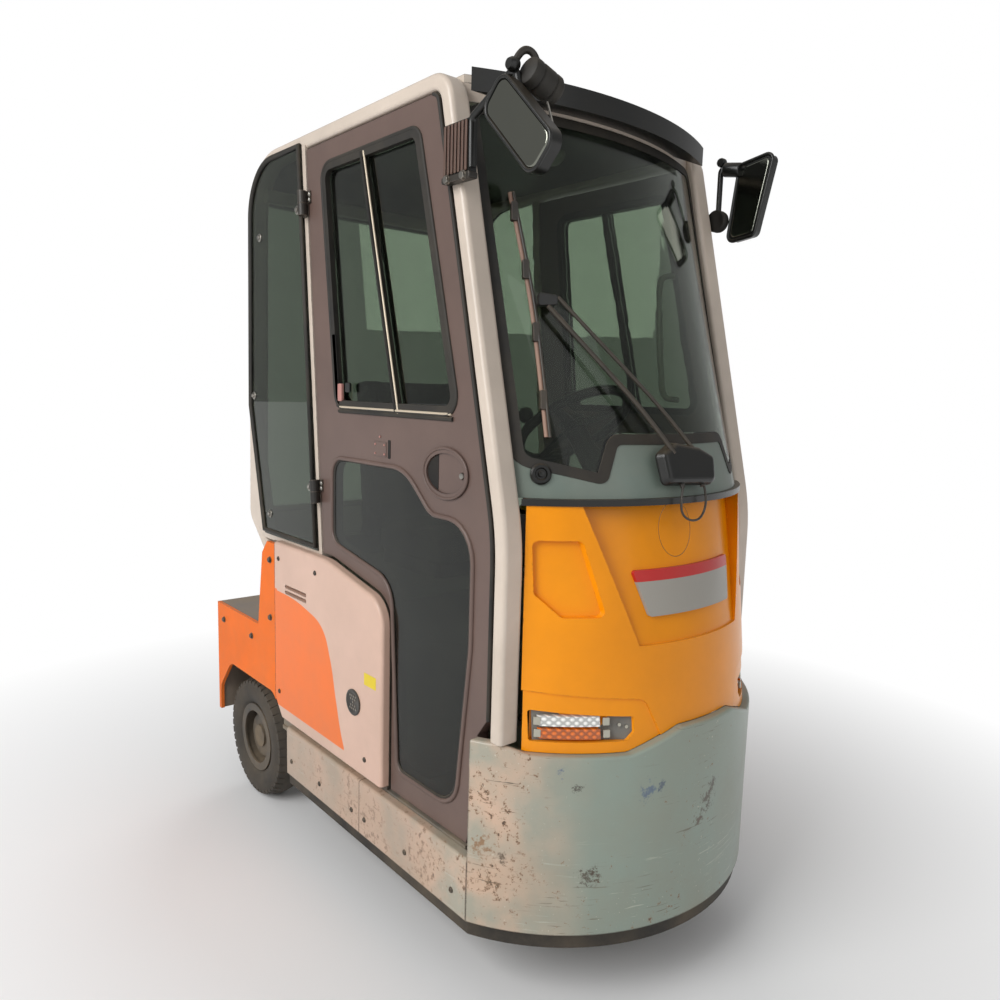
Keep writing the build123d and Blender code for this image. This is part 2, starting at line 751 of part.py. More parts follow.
# Seat console: a folded sheet over the battery
CONSOLE_HALF = BAY_HALF - BAY_WALL - SEAT_GAP
CONSOLE_REAR = BAY_REAR - SEAT_GAP
with BuildPart() as seat_console:
    with BuildSketch(side(-CONSOLE_HALF)):
        with BuildLine():
            Polyline(
                (CONSOLE_FRONT, FLOOR_LEVEL + FLOOR_WALL + SEAT_GAP),
                (CONSOLE_FRONT, CONSOLE_TOP),
                (CONSOLE_REAR, CONSOLE_TOP),
                (CONSOLE_REAR, DECK_TOP),
                (CONSOLE_REAR - CONSOLE_WALL, DECK_TOP),
                (CONSOLE_REAR - CONSOLE_WALL, CONSOLE_TOP - CONSOLE_WALL),
                (CONSOLE_FRONT + CONSOLE_WALL, CONSOLE_TOP - CONSOLE_WALL),
                (CONSOLE_FRONT + CONSOLE_WALL, FLOOR_LEVEL + FLOOR_WALL + SEAT_GAP),
                close=True,
            )
        make_face()
    extrude(amount=2 * CONSOLE_HALF)
    fillet(seat_console.edges().filter_by(Axis.X).sort_by(Axis.Z)[-2:], CONSOLE_WALL)
finish(seat_console, "seat_console")


def hood_profile(x, inset):
    """Side outline of the rear hood, pulled in from the edge of the fenders by inset."""
    with BuildSketch(side(x)) as profile:
        with BuildLine():
            Polyline(
                (FENDER_FRONT, DECK_TOP - DECK_WALL),
                (FENDER_FRONT, FENDER_TOP - inset),
                (FENDER_STEP - inset, FENDER_TOP - inset),
                (FENDER_WAIST - inset, FENDER_WAIST_HEIGHT - inset),
                (DECK_FRONT - inset, DECK_TOP - DECK_WALL),
                close=True,
            )
        make_face()
    return profile.sketch


# Rear hood behind the seat, a sheet box between the fenders
DECK_HALF = HALF_WIDTH - FENDER_WALL - SEAT_GAP
with BuildPart() as rear_hood:
    extrude(hood_profile(-DECK_HALF, SEAT_GAP), amount=2 * DECK_HALF)
    extrude(
        hood_profile(-DECK_HALF + HOOD_WALL, HOOD_WALL),
        amount=2 * (DECK_HALF - HOOD_WALL),
        mode=Mode.SUBTRACT,
    )
    with BuildSketch(station(FENDER_FRONT)):
        with Locations((0, (DECK_TOP - DECK_WALL + FENDER_TOP - SEAT_GAP) / 2)):
            Rectangle(2 * DECK_HALF, FENDER_TOP - SEAT_GAP - DECK_TOP + DECK_WALL)
    extrude(amount=-HOOD_WALL)
finish(rear_hood, "rear_hood")

# Rear deck and tail plate
with BuildPart() as rear_deck:
    with BuildSketch(side(-DECK_HALF)):
        with BuildLine():
            Polyline(
                (DECK_FRONT, DECK_TOP - DECK_WALL),
                (DECK_FRONT, DECK_TOP),
                (TAIL_DEPTH, DECK_TOP),
                (TAIL_DEPTH, TAIL_FOOT),
                (TAIL_DEPTH - TAIL_WALL, TAIL_FOOT),
                (TAIL_DEPTH - TAIL_WALL, DECK_TOP - DECK_WALL),
                close=True,
            )
        make_face()
    extrude(amount=2 * DECK_HALF)
finish(rear_deck, "rear_deck")

# Cab frame: side hoops, window posts, headers and waist rails
HOOP_START = BUMPER_CORNER + SEAT_GAP
HOOP_RISE = CAB_TOP - HOOP_DEPTH / 2
HOOP_LEAN = (HOOP_HEAD_DEPTH - HOOP_FOOT_DEPTH) / (HOOP_RISE - HOOP_KNEE_HEIGHT)
HOOP_CENTRE = CAB_HALF_WIDTH - HOOP_WIDTH / 2
HOOP_INNER = CAB_HALF_WIDTH - HOOP_WIDTH - SEAT_GAP
HOOP_POINTS = (
    (HOOP_FOOT_DEPTH, HOOP_START),
    (HOOP_FOOT_DEPTH, HOOP_KNEE_HEIGHT),
    (HOOP_HEAD_DEPTH, HOOP_RISE),
    (HOOP_REAR_TOP_DEPTH, HOOP_RISE),
    (HOOP_REAR_LOW_DEPTH, HOOP_REAR_LOW_HEIGHT),
    (HOOP_HEEL_DEPTH, HOOP_HEEL_HEIGHT),
)
HOOP_RADII = [HOOP_KNEE_RADIUS, HOOP_HEAD_RADIUS, HOOP_REAR_RADIUS, HOOP_HEEL_RADIUS]
POST_FOOT = BAY_TOP + SEAT_GAP
POST_HEAD = HOOP_RISE
POST_LEAN = (POST_TOP_DEPTH - POST_BOTTOM_DEPTH) / (POST_HEAD - POST_FOOT)


def inside_hoop(inset):
    """All that lies inside the hoop's centre line, in depth and height, pulled in by inset."""
    with BuildSketch() as opening:
        with BuildLine():
            FilletPolyline(*HOOP_POINTS, radius=HOOP_RADII)
            Polyline(HOOP_POINTS[-1], (HOOP_HEEL_DEPTH, 0), (HOOP_FOOT_DEPTH, 0), HOOP_POINTS[0])
        make_face()
        offset(amount=-inset)
    return opening.sketch


with BuildPart() as cab_frame:
    with BuildLine(side(-HOOP_CENTRE)):
        FilletPolyline(*HOOP_POINTS, radius=HOOP_RADII)
    with BuildSketch(Plane.XY.offset(HOOP_START)):
        with Locations((-HOOP_CENTRE, NOSE + HOOP_FOOT_DEPTH)):
            RectangleRounded(HOOP_WIDTH, HOOP_DEPTH, HOOP_ROUND)
    sweep()
    # Post between the door and the quarter window, the waist rail and the rear corner
    with BuildSketch(side(-CAB_HALF_WIDTH)):
        with BuildLine():
            Polyline(
                (POST_TOP_DEPTH, POST_HEAD),
                (POST_TOP_DEPTH + POST_WIDTH, POST_HEAD),
                (POST_BOTTOM_DEPTH + POST_WIDTH, POST_FOOT + WAIST_RAIL),
                (QUARTER_FOOT_DEPTH, POST_FOOT + WAIST_RAIL),
                (QUARTER_ELBOW_DEPTH, QUARTER_ELBOW_HEIGHT),
                (HOOP_REAR_LOW_DEPTH, QUARTER_ELBOW_HEIGHT),
                (HOOP_REAR_LOW_DEPTH, HOOP_REAR_LOW_HEIGHT),
                (QUARTER_FOOT_DEPTH + WAIST_RAIL, POST_FOOT),
                (POST_BOTTOM_DEPTH, POST_FOOT),
                close=True,
            )
        make_face()
    extrude(amount=POST_WALL)
    mirror(about=Plane.YZ)
    # Front header under the roof, bowed like the visor
    extrude(
        bow_strip(
            HEADER_LEVEL,
            VISOR_FRONT + VISOR_WALL + SEAT_GAP,
            VISOR_RADIUS - VISOR_WALL - SEAT_GAP,
            CAB_HALF_WIDTH - HEADER_STEP,
            HEADER_WALL,
        ),
        amount=CAB_TOP - ROOF_WALL - SEAT_GAP - HEADER_LEVEL,
    )
    # Rear header, rear waist bar and the sloped plate under the rear window
    with BuildSketch(side(-HOOP_CENTRE)):
        with Locations((HOOP_REAR_TOP_DEPTH - REAR_HEADER_INSET, HOOP_RISE - REAR_HEADER_DROP)):
            RectangleRounded(HOOP_DEPTH, HOOP_DEPTH, HOOP_ROUND)
        with Locations((HOOP_REAR_LOW_DEPTH - REAR_BAR_INSET, HOOP_REAR_LOW_HEIGHT)):
            Rectangle(REAR_BAR, HOOP_DEPTH)
        with BuildLine():
            Polyline(
                (HOOP_REAR_LOW_DEPTH, HOOP_REAR_LOW_HEIGHT),
                (HOOP_HEEL_DEPTH, HOOP_HEEL_HEIGHT),
                (HOOP_HEEL_DEPTH - REAR_BAR, HOOP_HEEL_HEIGHT),
                (HOOP_REAR_LOW_DEPTH - REAR_BAR, HOOP_REAR_LOW_HEIGHT),
                close=True,
            )
        make_face()
    extrude(amount=2 * HOOP_CENTRE)
    extrude(hood_profile(-HALF_WIDTH, -SEAT_GAP), amount=2 * HALF_WIDTH, mode=Mode.SUBTRACT)
finish(cab_frame, "cab_frame")

# Quarter windows, bonded on the outside of the frame
with BuildPart() as quarter_windows:
    with BuildSketch(side(-CAB_HALF_WIDTH - SEAT_GAP)):
        with BuildLine():
            Polyline(
                (POST_TOP_DEPTH + POST_WIDTH - QUARTER_OVERLAP, POST_HEAD),
                (HOOP_REAR_LOW_DEPTH, POST_HEAD),
                (HOOP_REAR_LOW_DEPTH, QUARTER_ELBOW_HEIGHT),
                (QUARTER_ELBOW_DEPTH + QUARTER_OVERLAP, QUARTER_ELBOW_HEIGHT),
                (QUARTER_FOOT_DEPTH + QUARTER_OVERLAP, POST_FOOT + WAIST_RAIL - QUARTER_OVERLAP),
                (POST_BOTTOM_DEPTH + POST_WIDTH - QUARTER_OVERLAP, POST_FOOT + WAIST_RAIL - QUARTER_OVERLAP),
                close=True,
            )
        make_face()
        add(inside_hoop(HOOP_DEPTH / 2 - QUARTER_OVERLAP), mode=Mode.INTERSECT)
    extrude(amount=-QUARTER_GLASS)
    mirror(about=Plane.YZ)
finish(quarter_windows, "quarter_windows")

# Rear window between the hoops
REAR_SLOPE = (HOOP_REAR_LOW_DEPTH - HOOP_REAR_TOP_DEPTH) / (HOOP_RISE - HOOP_REAR_LOW_HEIGHT)
with BuildPart() as rear_window:
    rear_low = HOOP_REAR_LOW_HEIGHT + HOOP_DEPTH / 2 + SEAT_GAP
    rear_high = HOOP_RISE - REAR_HEADER_DROP - HOOP_DEPTH / 2 - SEAT_GAP
    rear_low_depth = HOOP_REAR_LOW_DEPTH - REAR_BAR_INSET
    rear_high_depth = rear_low_depth - REAR_SLOPE * (rear_high - rear_low)
    with BuildSketch(side(-HOOP_INNER)):
        with BuildLine():
            Polyline(
                (rear_low_depth, rear_low),
                (rear_high_depth, rear_high),
                (rear_high_depth - WINDOW_GLASS, rear_high),
                (rear_low_depth - WINDOW_GLASS, rear_low),
                close=True,
            )
        make_face()
    extrude(amount=2 * HOOP_INNER)
finish(rear_window, "rear_window")

# Roof skin between the hoops, rolled down to the rear window
with BuildPart() as roof:
    with BuildSketch(side(-HOOP_INNER)):
        add(inside_hoop(-HOOP_DEPTH / 2))
        add(inside_hoop(ROOF_WALL - HOOP_DEPTH / 2), mode=Mode.SUBTRACT)
        with Locations((ROOF_JOIN, HOOP_RISE - REAR_HEADER_DROP - HOOP_DEPTH / 2)):
            Rectangle(
                HOOP_REAR_LOW_DEPTH,
                2 * REAR_HEADER_DROP,
                align=(Align.MIN, Align.MIN),
                mode=Mode.INTERSECT,
            )
    extrude(amount=2 * HOOP_INNER)
    # The front of the roof runs on over the header to the visor
    with BuildSketch(Plane.XY.offset(CAB_TOP - ROOF_WALL)):
        with BuildLine():
            behind_visor = VISOR_WALL + SEAT_GAP
            roof_side = bow_end(VISOR_FRONT + behind_visor, VISOR_RADIUS - behind_visor, HOOP_INNER)
            roof_bow = ThreePointArc(
                (-HOOP_INNER, roof_side),
                (0, NOSE + VISOR_FRONT + behind_visor),
                (HOOP_INNER, roof_side),
            )
            Polyline(
                roof_bow @ 1,
                (HOOP_INNER, NOSE + ROOF_JOIN),
                (-HOOP_INNER, NOSE + ROOF_JOIN),
                roof_bow @ 0,
            )
        make_face()
    extrude(amount=ROOF_WALL)
finish(roof, "roof")

# Visor over the windscreen
with BuildPart() as roof_visor:
    extrude(
        bow_strip(
            CAB_TOP - VISOR_HEIGHT - SEAT_GAP,
            VISOR_FRONT,
            VISOR_RADIUS,
            CAB_HALF_WIDTH - VISOR_STEP,
            VISOR_WALL,
        ),
        amount=VISOR_HEIGHT,
    )
finish(roof_visor, "roof_visor")


def hoop_depth(height):
    """Depth of the hoop's centre line on its straight front leg."""
    return HOOP_FOOT_DEPTH + HOOP_LEAN * (height - HOOP_KNEE_HEIGHT)


def screen_strip(level, radius, ahead, wall):
    """Bow of the windscreen at a level, its ends on the hoops, moved ahead of the glass's outer face."""
    sagitta = radius - sqrt(radius**2 - HOOP_INNER**2)
    return bow_strip(level, hoop_depth(level) - sagitta - ahead, radius, HOOP_INNER, wall)


def screen_outline(inset):
    """Outline of the windscreen's seal seen from the front, pulled in by inset."""
    with BuildSketch(station(0)) as outline:
        with BuildLine():
            half = FilletPolyline(
                (0, SCREEN_HIGH),
                (HOOP_INNER, SCREEN_HIGH),
                (HOOP_INNER, SCREEN_CORNER),
                (SCREEN_DIP_HALF, SCREEN_DIP),
                (COWL_HUMP_HALF, COWL_HUMP),
                (0, COWL_HUMP),
                radius=SCREEN_RADII,
            )
            Line(half @ 1, half @ 0)
        make_face()
        mirror(about=Plane.YZ)
        offset(amount=-inset)
    return outline.sketch


# Windscreen, its seal and the cowl under it share one bowed shell
with BuildPart() as windscreen:
    loft([
        screen_strip(SCREEN_LOW, SCREEN_LOW_RADIUS, 0, SCREEN_WALL),
        screen_strip(SCREEN_HIGH, SCREEN_HIGH_RADIUS, 0, SCREEN_WALL),
    ])
    extrude(screen_outline(SEAL_WIDTH + SEAT_GAP), amount=-LENGTH, mode=Mode.INTERSECT)
finish(windscreen, "windscreen")

with BuildPart() as windscreen_seal:
    loft([
        screen_strip(SCREEN_LOW, SCREEN_LOW_RADIUS, SEAL_PROUD, SEAL_WALL),
        screen_strip(SCREEN_HIGH, SCREEN_HIGH_RADIUS, SEAL_PROUD, SEAL_WALL),
    ])
    extrude(screen_outline(0), amount=-LENGTH, mode=Mode.INTERSECT)
    extrude(screen_outline(SEAL_WIDTH), amount=-LENGTH, mode=Mode.SUBTRACT)
finish(windscreen_seal, "windscreen_seal")

with BuildPart() as cowl:
    loft([
        screen_strip(SCREEN_LOW + SEAT_GAP, SCREEN_LOW_RADIUS, 0, SEAL_WALL),
        screen_strip(SCREEN_HIGH, SCREEN_HIGH_RADIUS, 0, SEAL_WALL),
    ])
    extrude(screen_outline(-SEAT_GAP), amount=-LENGTH, mode=Mode.SUBTRACT)
    with BuildSketch(station(0)):
        with Locations((0, SCREEN_LOW)):
            Rectangle(LENGTH, COWL_HUMP + SEAL_WIDTH - SCREEN_LOW, align=(Align.CENTER, Align.MIN))
    extrude(amount=-LENGTH, mode=Mode.INTERSECT)
finish(cowl, "cowl")

# Black band between the cowl and the apron
with BuildPart() as cowl_band:
    extrude(
        bow_strip(
            SCREEN_LOW - BAND_HEIGHT,
            APRON_HIGH_FRONT - BAND_PROUD,
            APRON_HIGH_RADIUS + BAND_PROUD,
            HOOP_INNER,
            BAND_WALL,
        ),
        amount=BAND_HEIGHT,
    )
finish(cowl_band, "cowl_band")


def ahead_of_bow(level, front, radius, half):
    """Everything ahead of a bow in plan."""
    rear = bow_end(front, radius, half)
    with BuildSketch(Plane.XY.offset(level)) as region:
        with BuildLine():
            bow = ThreePointArc((-half, rear), (0, NOSE + front), (half, rear))
            Polyline(bow @ 1, (half, NOSE - half), (-half, NOSE - half), bow @ 0)
        make_face()
    return region.sketch


def apron_ahead(depth):
    """Bows that bound all that lies ahead of the apron's face moved back by depth."""
    return [
        ahead_of_bow(APRON_LOW, APRON_LOW_FRONT + depth, APRON_LOW_RADIUS - depth, APRON_LOW_HALF),
        ahead_of_bow(APRON_HIGH, APRON_HIGH_FRONT + depth, APRON_HIGH_RADIUS - depth, APRON_HIGH_HALF),
    ]


def scoop_ahead(depth):
    """Bows that bound all that lies ahead of the scoop's floor moved back by depth."""
    return [
        ahead_of_bow(SCOOP_LOW, SCOOP_LOW_DEPTH + depth, SCOOP_LOW_RADIUS - depth, APRON_LOW_HALF),
        ahead_of_bow(APRON_HIGH, SCOOP_HIGH_DEPTH + depth, APRON_HIGH_RADIUS - depth, APRON_LOW_HALF),
    ]


def scoop_outline(inset):
    """Outline of the scoop seen from the front, pulled in by inset."""
    with BuildSketch(station(0)) as outline:
        with BuildLine():
            Polyline(
                (-SCOOP_LOW_HALF + inset, SCOOP_LOW + inset),
                (-SCOOP_HIGH_HALF + inset, APRON_HIGH),
                (SCOOP_HIGH_HALF - inset, APRON_HIGH),
                (SCOOP_LOW_HALF - inset, SCOOP_LOW + inset),
                close=True,
            )
        make_face()
    return outline.sketch


# Scoop of the apron: its hollow, and the walls and floor around that
with BuildPart() as scoop_hollow:
    extrude(scoop_outline(0), amount=-LENGTH)
    loft(scoop_ahead(0), mode=Mode.INTERSECT)

with BuildPart() as scoop_walls:
    extrude(scoop_outline(-SCOOP_WALL), amount=-LENGTH)
    loft(scoop_ahead(SCOOP_WALL), mode=Mode.INTERSECT)
    loft(apron_ahead(APRON_WALL / 2), mode=Mode.SUBTRACT)

# Niches of the headlamps
with BuildPart() as lamp_niches:
    with BuildSketch(station(0)):
        with BuildLine():
            FilletPolyline(
                (LAMP_OUTER, LAMP_LOW),
                (LAMP_OUTER, LAMP_HIGH),
                (LAMP_INNER, LAMP_HIGH - LAMP_RAKE),
                (LAMP_INNER, LAMP_LOW + LAMP_RAKE),
                (LAMP_INNER + LAMP_RAKE, LAMP_LOW),
                radius=LAMP_CORNER,
                close=True,
            )
        make_face()
        mirror(about=Plane.YZ)
    extrude(amount=-LENGTH)
    loft(apron_ahead(LAMP_DEPTH), mode=Mode.INTERSECT)

# Shallow pockets beside the scoop
with BuildPart() as side_pockets:
    with BuildSketch(station(0)):
        with BuildLine():
            FilletPolyline(
                (POCKET_OUTER, POCKET_HIGH),
                (POCKET_INNER, POCKET_HIGH),
                (POCKET_FOOT, POCKET_LOW),
                (POCKET_FOOT_OUTER, POCKET_LOW),
                (POCKET_OUTER, POCKET_SHOULDER),
                radius=POCKET_CORNER,
                close=True,
            )
        make_face()
        mirror(about=Plane.YZ)
    extrude(amount=-LENGTH)
    loft(apron_ahead(POCKET_DEPTH), mode=Mode.INTERSECT)

# Lower panels around the headlamps, set back behind a crease
with BuildPart() as lamp_panels:
    with BuildSketch(station(0)):
        with BuildLine():
            lamp_edge = FilletPolyline(
                (LAMP_PANEL_OUTER, LAMP_PANEL_HIGH),
                (LAMP_PANEL_BEND, LAMP_PANEL_BEND_LEVEL),
                (LAMP_PANEL_FOOT, APRON_LOW),
                radius=LAMP_PANEL_CORNER,
            )
            Polyline(lamp_edge @ 1, (LAMP_PANEL_OUTER, APRON_LOW), lamp_edge @ 0)
        make_face()
        mirror(about=Plane.YZ)
    extrude(amount=-LENGTH)
    loft(apron_ahead(LAMP_PANEL_DEPTH), mode=Mode.INTERSECT)

# Front apron
with BuildPart() as front_apron:
    loft([
        bow_strip(APRON_LOW, APRON_LOW_FRONT, APRON_LOW_RADIUS, APRON_LOW_HALF, APRON_WALL),
        bow_strip(APRON_HIGH, APRON_HIGH_FRONT, APRON_HIGH_RADIUS, APRON_HIGH_HALF, APRON_WALL),
    ])
    add(scoop_walls.part)
    add(scoop_hollow.part, mode=Mode.SUBTRACT)
    add(side_pockets.part, mode=Mode.SUBTRACT)
    add(lamp_panels.part, mode=Mode.SUBTRACT)
    add(lamp_niches.part, mode=Mode.SUBTRACT)
    extrude(above_bumper(SEAM), amount=-LENGTH, mode=Mode.INTERSECT)
finish(front_apron, "front_apron")


# Headlamps: a white bar over an amber one in each niche
with BuildPart() as headlamps:
    with BuildSketch(station(0)):
        for low in (LAMP_WHITE_LOW, LAMP_AMBER_LOW):
            with Locations((-LAMP_BAR_OUTER, low)):
                Rectangle(LAMP_BAR, LAMP_BAR_HEIGHT, align=(Align.MIN, Align.MIN))
        mirror(about=Plane.YZ)
    extrude(amount=-LENGTH)
    loft(apron_ahead(LAMP_DEPTH - SEAT_GAP), mode=Mode.INTERSECT)
    loft(apron_ahead(LAMP_FACE), mode=Mode.SUBTRACT)
finish(headlamps, "headlamps")

# Blank plate on the floor of the scoop
with BuildPart() as front_plate:
    with BuildSketch(station(0)):
        with BuildLine():
            FilletPolyline(
                (-PLATE_LOW_HALF, PLATE_LOW),
                (-PLATE_HIGH_HALF, PLATE_LOW + PLATE_HEIGHT),
                (PLATE_HIGH_HALF, PLATE_LOW + PLATE_HEIGHT),
                (PLATE_LOW_HALF, PLATE_LOW),
                radius=PLATE_CORNER,
                close=True,
            )
        make_face()
    extrude(amount=-LENGTH)
    loft(scoop_ahead(-SEAT_GAP), mode=Mode.INTERSECT)
    loft(scoop_ahead(-PLATE_WALL), mode=Mode.SUBTRACT)
finish(front_plate, "front_plate")


def post_depth(height):
    """Depth of the front edge of the post behind the door."""
    return POST_TOP_DEPTH - POST_LEAN * (POST_HEAD - height)


def door_profile():
    """Outline of a door in depth and height: inside the hoop, ahead of the post, above the side panel."""
    with BuildSketch() as door:
        with BuildLine():
            Polyline(
                (HOOP_FOOT_DEPTH, POST_HEAD),
                (HOOP_FOOT_DEPTH, DOOR_CHEEK_TOP),
                (DOOR_KICK_DEPTH, DOOR_CHEEK_FOOT),
                (DOOR_KICK_DEPTH, DOOR_KICK_HEIGHT),
                (DOOR_BOTTOM_FRONT, DOOR_BOTTOM),
                (PANEL_FRONT - DOOR_GAP, DOOR_BOTTOM),
                (PANEL_FRONT - DOOR_GAP, BAY_STEP),
                (PANEL_CROWN_DEPTH, BAY_STEP),
                (post_depth(PANEL_TOP) - DOOR_GAP, PANEL_TOP),
                (POST_TOP_DEPTH - DOOR_GAP, POST_HEAD),
                close=True,
            )
        make_face()
        add(inside_hoop(HOOP_DEPTH / 2 + DOOR_GAP), mode=Mode.INTERSECT)
        with BuildSketch(mode=Mode.PRIVATE) as panel_room:
            add(panel_profile())
            offset(amount=DOOR_GAP)
        add(panel_room.sketch, mode=Mode.SUBTRACT)
    return door.sketch


def upper_window(inset):
    """Outline of the door's upper window in depth and height, pulled in by inset."""
    with BuildSketch() as window:
        with BuildLine():
            FilletPolyline(
                (WINDOW_SILL_FRONT, WINDOW_SILL),
                (WINDOW_TOP_FRONT, WINDOW_TOP),
                (WINDOW_TOP_REAR, WINDOW_TOP),
                (WINDOW_SILL_REAR, WINDOW_SILL),
                radius=WINDOW_CORNER,
                close=True,
            )
        make_face()
        offset(amount=-inset)
    return window.sketch


def lower_glass(inset):
    """S-shaped outline of the door's lower glass in depth and height, pulled in by inset."""
    with BuildSketch() as glass:
        with BuildLine():
            FilletPolyline(
                (LOWER_GLASS_REAR, LOWER_GLASS_TOP),
                (LOWER_GLASS_SHOULDER, LOWER_GLASS_TOP),
                (LOWER_GLASS_CHEST, LOWER_GLASS_BROW),
                (LOWER_GLASS_FRONT, LOWER_GLASS_BROW),
                (LOWER_GLASS_FRONT, LOWER_GLASS_KNEE),
                (LOWER_GLASS_TOE, LOWER_GLASS_BOTTOM),
                (LOWER_GLASS_HEEL, LOWER_GLASS_BOTTOM),
                (LOWER_GLASS_SHIN, LOWER_GLASS_STEP),
                (LOWER_GLASS_REAR, LOWER_GLASS_SEAT),
                radius=LOWER_GLASS_RADII,
                close=True,
            )
        make_face()
        offset(amount=-inset)
    return glass.sketch


def handle_oval(inset):
    """Oval of the door handle in depth and height, pulled in by inset."""
    with BuildSketch() as oval:
        with Locations((HANDLE_DEPTH, HANDLE_HEIGHT)):
            Ellipse(HANDLE_HALF - inset, HANDLE_RISE - inset)
    return oval.sketch


# Right door, the one in the photograph, and everything that it carries
with BuildPart() as door_right:
    with BuildSketch(side(-CAB_HALF_WIDTH)):
        add(door_profile())
        add(upper_window(0), mode=Mode.SUBTRACT)
        add(lower_glass(LOWER_GLASS_LIP), mode=Mode.SUBTRACT)
    extrude(amount=DOOR_WALL)
    # Rebate for the lower glass and the cup of the handle
    with BuildSketch(side(-CAB_HALF_WIDTH)):
        add(lower_glass(0))
    extrude(amount=WINDOW_GLASS + 2 * SEAT_GAP, mode=Mode.SUBTRACT)
    with BuildSketch(side(-CAB_HALF_WIDTH)):
        add(handle_oval(0))
    extrude(amount=HANDLE_CUP, mode=Mode.SUBTRACT)
finish(door_right, "door_right")

with BuildPart() as door_windows_right:
    # Frame of the upper window with the bar between its sliding panes
    with BuildSketch(side(-CAB_HALF_WIDTH - WINDOW_FRAME_PROUD)):
        add(upper_window(SEAT_GAP))
        add(upper_window(WINDOW_FRAME), mode=Mode.SUBTRACT)
    extrude(amount=DOOR_WALL + WINDOW_FRAME_PROUD)
    with BuildSketch(side(-CAB_HALF_WIDTH)):
        with BuildLine():
            Polyline(
                (WINDOW_BAR_TOP, WINDOW_TOP),
                (WINDOW_BAR_TOP + WINDOW_BAR, WINDOW_TOP),
                (WINDOW_BAR_FOOT + WINDOW_BAR, WINDOW_SILL),
                (WINDOW_BAR_FOOT, WINDOW_SILL),
                close=True,
            )
        make_face()
        add(upper_window(WINDOW_FRAME - SEAT_GAP), mode=Mode.INTERSECT)
    extrude(amount=DOOR_WALL)
finish(door_windows_right, "door_windows_right")

with BuildPart() as door_glass_right:
    with BuildSketch(side(-CAB_HALF_WIDTH + WINDOW_GLASS_INSET)):
        add(upper_window(WINDOW_FRAME + SEAT_GAP))
        with BuildLine():
            Polyline(
                (WINDOW_BAR_TOP - SEAT_GAP, WINDOW_TOP),
                (WINDOW_BAR_TOP + WINDOW_BAR + SEAT_GAP, WINDOW_TOP),
                (WINDOW_BAR_FOOT + WINDOW_BAR + SEAT_GAP, WINDOW_SILL),
                (WINDOW_BAR_FOOT - SEAT_GAP, WINDOW_SILL),
                close=True,
            )
        make_face(mode=Mode.SUBTRACT)
    extrude(amount=WINDOW_GLASS)
    with BuildSketch(side(-CAB_HALF_WIDTH + SEAT_GAP)):
        add(lower_glass(SEAT_GAP))
    extrude(amount=WINDOW_GLASS)
finish(door_glass_right, "door_glass_right")

with BuildPart() as door_handle_right:
    # Rim ring over the edge of the cup, and the paddle in it
    with BuildSketch(side(-CAB_HALF_WIDTH - HANDLE_RIM_PROUD)):
        add(handle_oval(SEAT_GAP))
        add(handle_oval(HANDLE_RIM), mode=Mode.SUBTRACT)
    extrude(amount=HANDLE_CUP + HANDLE_RIM_PROUD - SEAT_GAP)
    with BuildSketch(side(-CAB_HALF_WIDTH)):
        add(handle_oval(HANDLE_RIM - SEAT_GAP))
        with Locations((HANDLE_DEPTH - HANDLE_HALF, HANDLE_HEIGHT)):
            Rectangle(HANDLE_PADDLE, 2 * HANDLE_RISE, align=(Align.MIN, Align.CENTER), mode=Mode.INTERSECT)
    extrude(amount=HANDLE_PADDLE_WALL)
finish(door_handle_right, "door_handle_right")

# Hinges: a barrel on the post under a knuckle with its pin on the door, at two heights
HINGE_TILT = degrees(atan2(POST_LEAN, 1))


def hinge_plane(height):
    """Plane square to the hinge axis of the right door, at a height."""
    return Plane(
        origin=(-CAB_HALF_WIDTH - HINGE_REACH, NOSE + post_depth(height) - DOOR_GAP / 2, height),
        x_dir=(1, 0, 0),
        z_dir=(0, sin(radians(HINGE_TILT)), cos(radians(HINGE_TILT))),
    )


def hinge_leaf(height, forward):
    """Section of one hinge half: a barrel and a leaf lying on the outside, ahead of the axis or behind."""
    with BuildSketch(hinge_plane(height)) as leaf:
        Circle(HINGE_BARREL_RADIUS)
        way = -1 if forward else 1
        with Locations((HINGE_REACH - HINGE_LEAF - SEAT_GAP, 0)):
            Rectangle(
                HINGE_LEAF,
                HINGE_LEAF_LENGTH,
                align=(Align.MIN, Align.MAX if forward else Align.MIN),
            )
        with Locations((0, way * DOOR_GAP)):
            Rectangle(HINGE_REACH - HINGE_LEAF, HINGE_LEAF, align=(Align.MIN, Align.CENTER))
    return leaf.sketch


with BuildPart() as door_hinges_right:
    for height in (HINGE_LOW, HINGE_HIGH):
        extrude(hinge_leaf(height, True), amount=HINGE_KNUCKLE)
        with BuildSketch(hinge_plane(height)):
            Circle(HINGE_PIN_RADIUS)
        extrude(amount=-HINGE_KNUCKLE)
finish(door_hinges_right, "door_hinges_right")

with BuildPart() as hinge_barrels:
    for height in (HINGE_LOW, HINGE_HIGH):
        extrude(hinge_leaf(height, False), amount=-HINGE_KNUCKLE)
        with BuildSketch(hinge_plane(height)):
            Circle(HINGE_BARREL_RADIUS)
        extrude(amount=-HINGE_AXIAL_GAP, mode=Mode.SUBTRACT)
        with BuildSketch(hinge_plane(height)):
            Circle(HINGE_PIN_RADIUS + HINGE_PIN_PLAY)
        extrude(amount=-2 * HINGE_KNUCKLE, mode=Mode.SUBTRACT)
    mirror(about=Plane.YZ)
finish(hinge_barrels, "hinge_barrels")

# Left door, the mirror image
for piece, name in (
    (door_right, "door_left"),
    (door_windows_right, "door_windows_left"),
    (door_glass_right, "door_glass_left"),
    (door_handle_right, "door_handle_left"),
    (door_hinges_right, "door_hinges_left"),
):
    with BuildPart() as twin:
        mirror(piece.part, about=Plane.YZ)
    finish(twin, name)

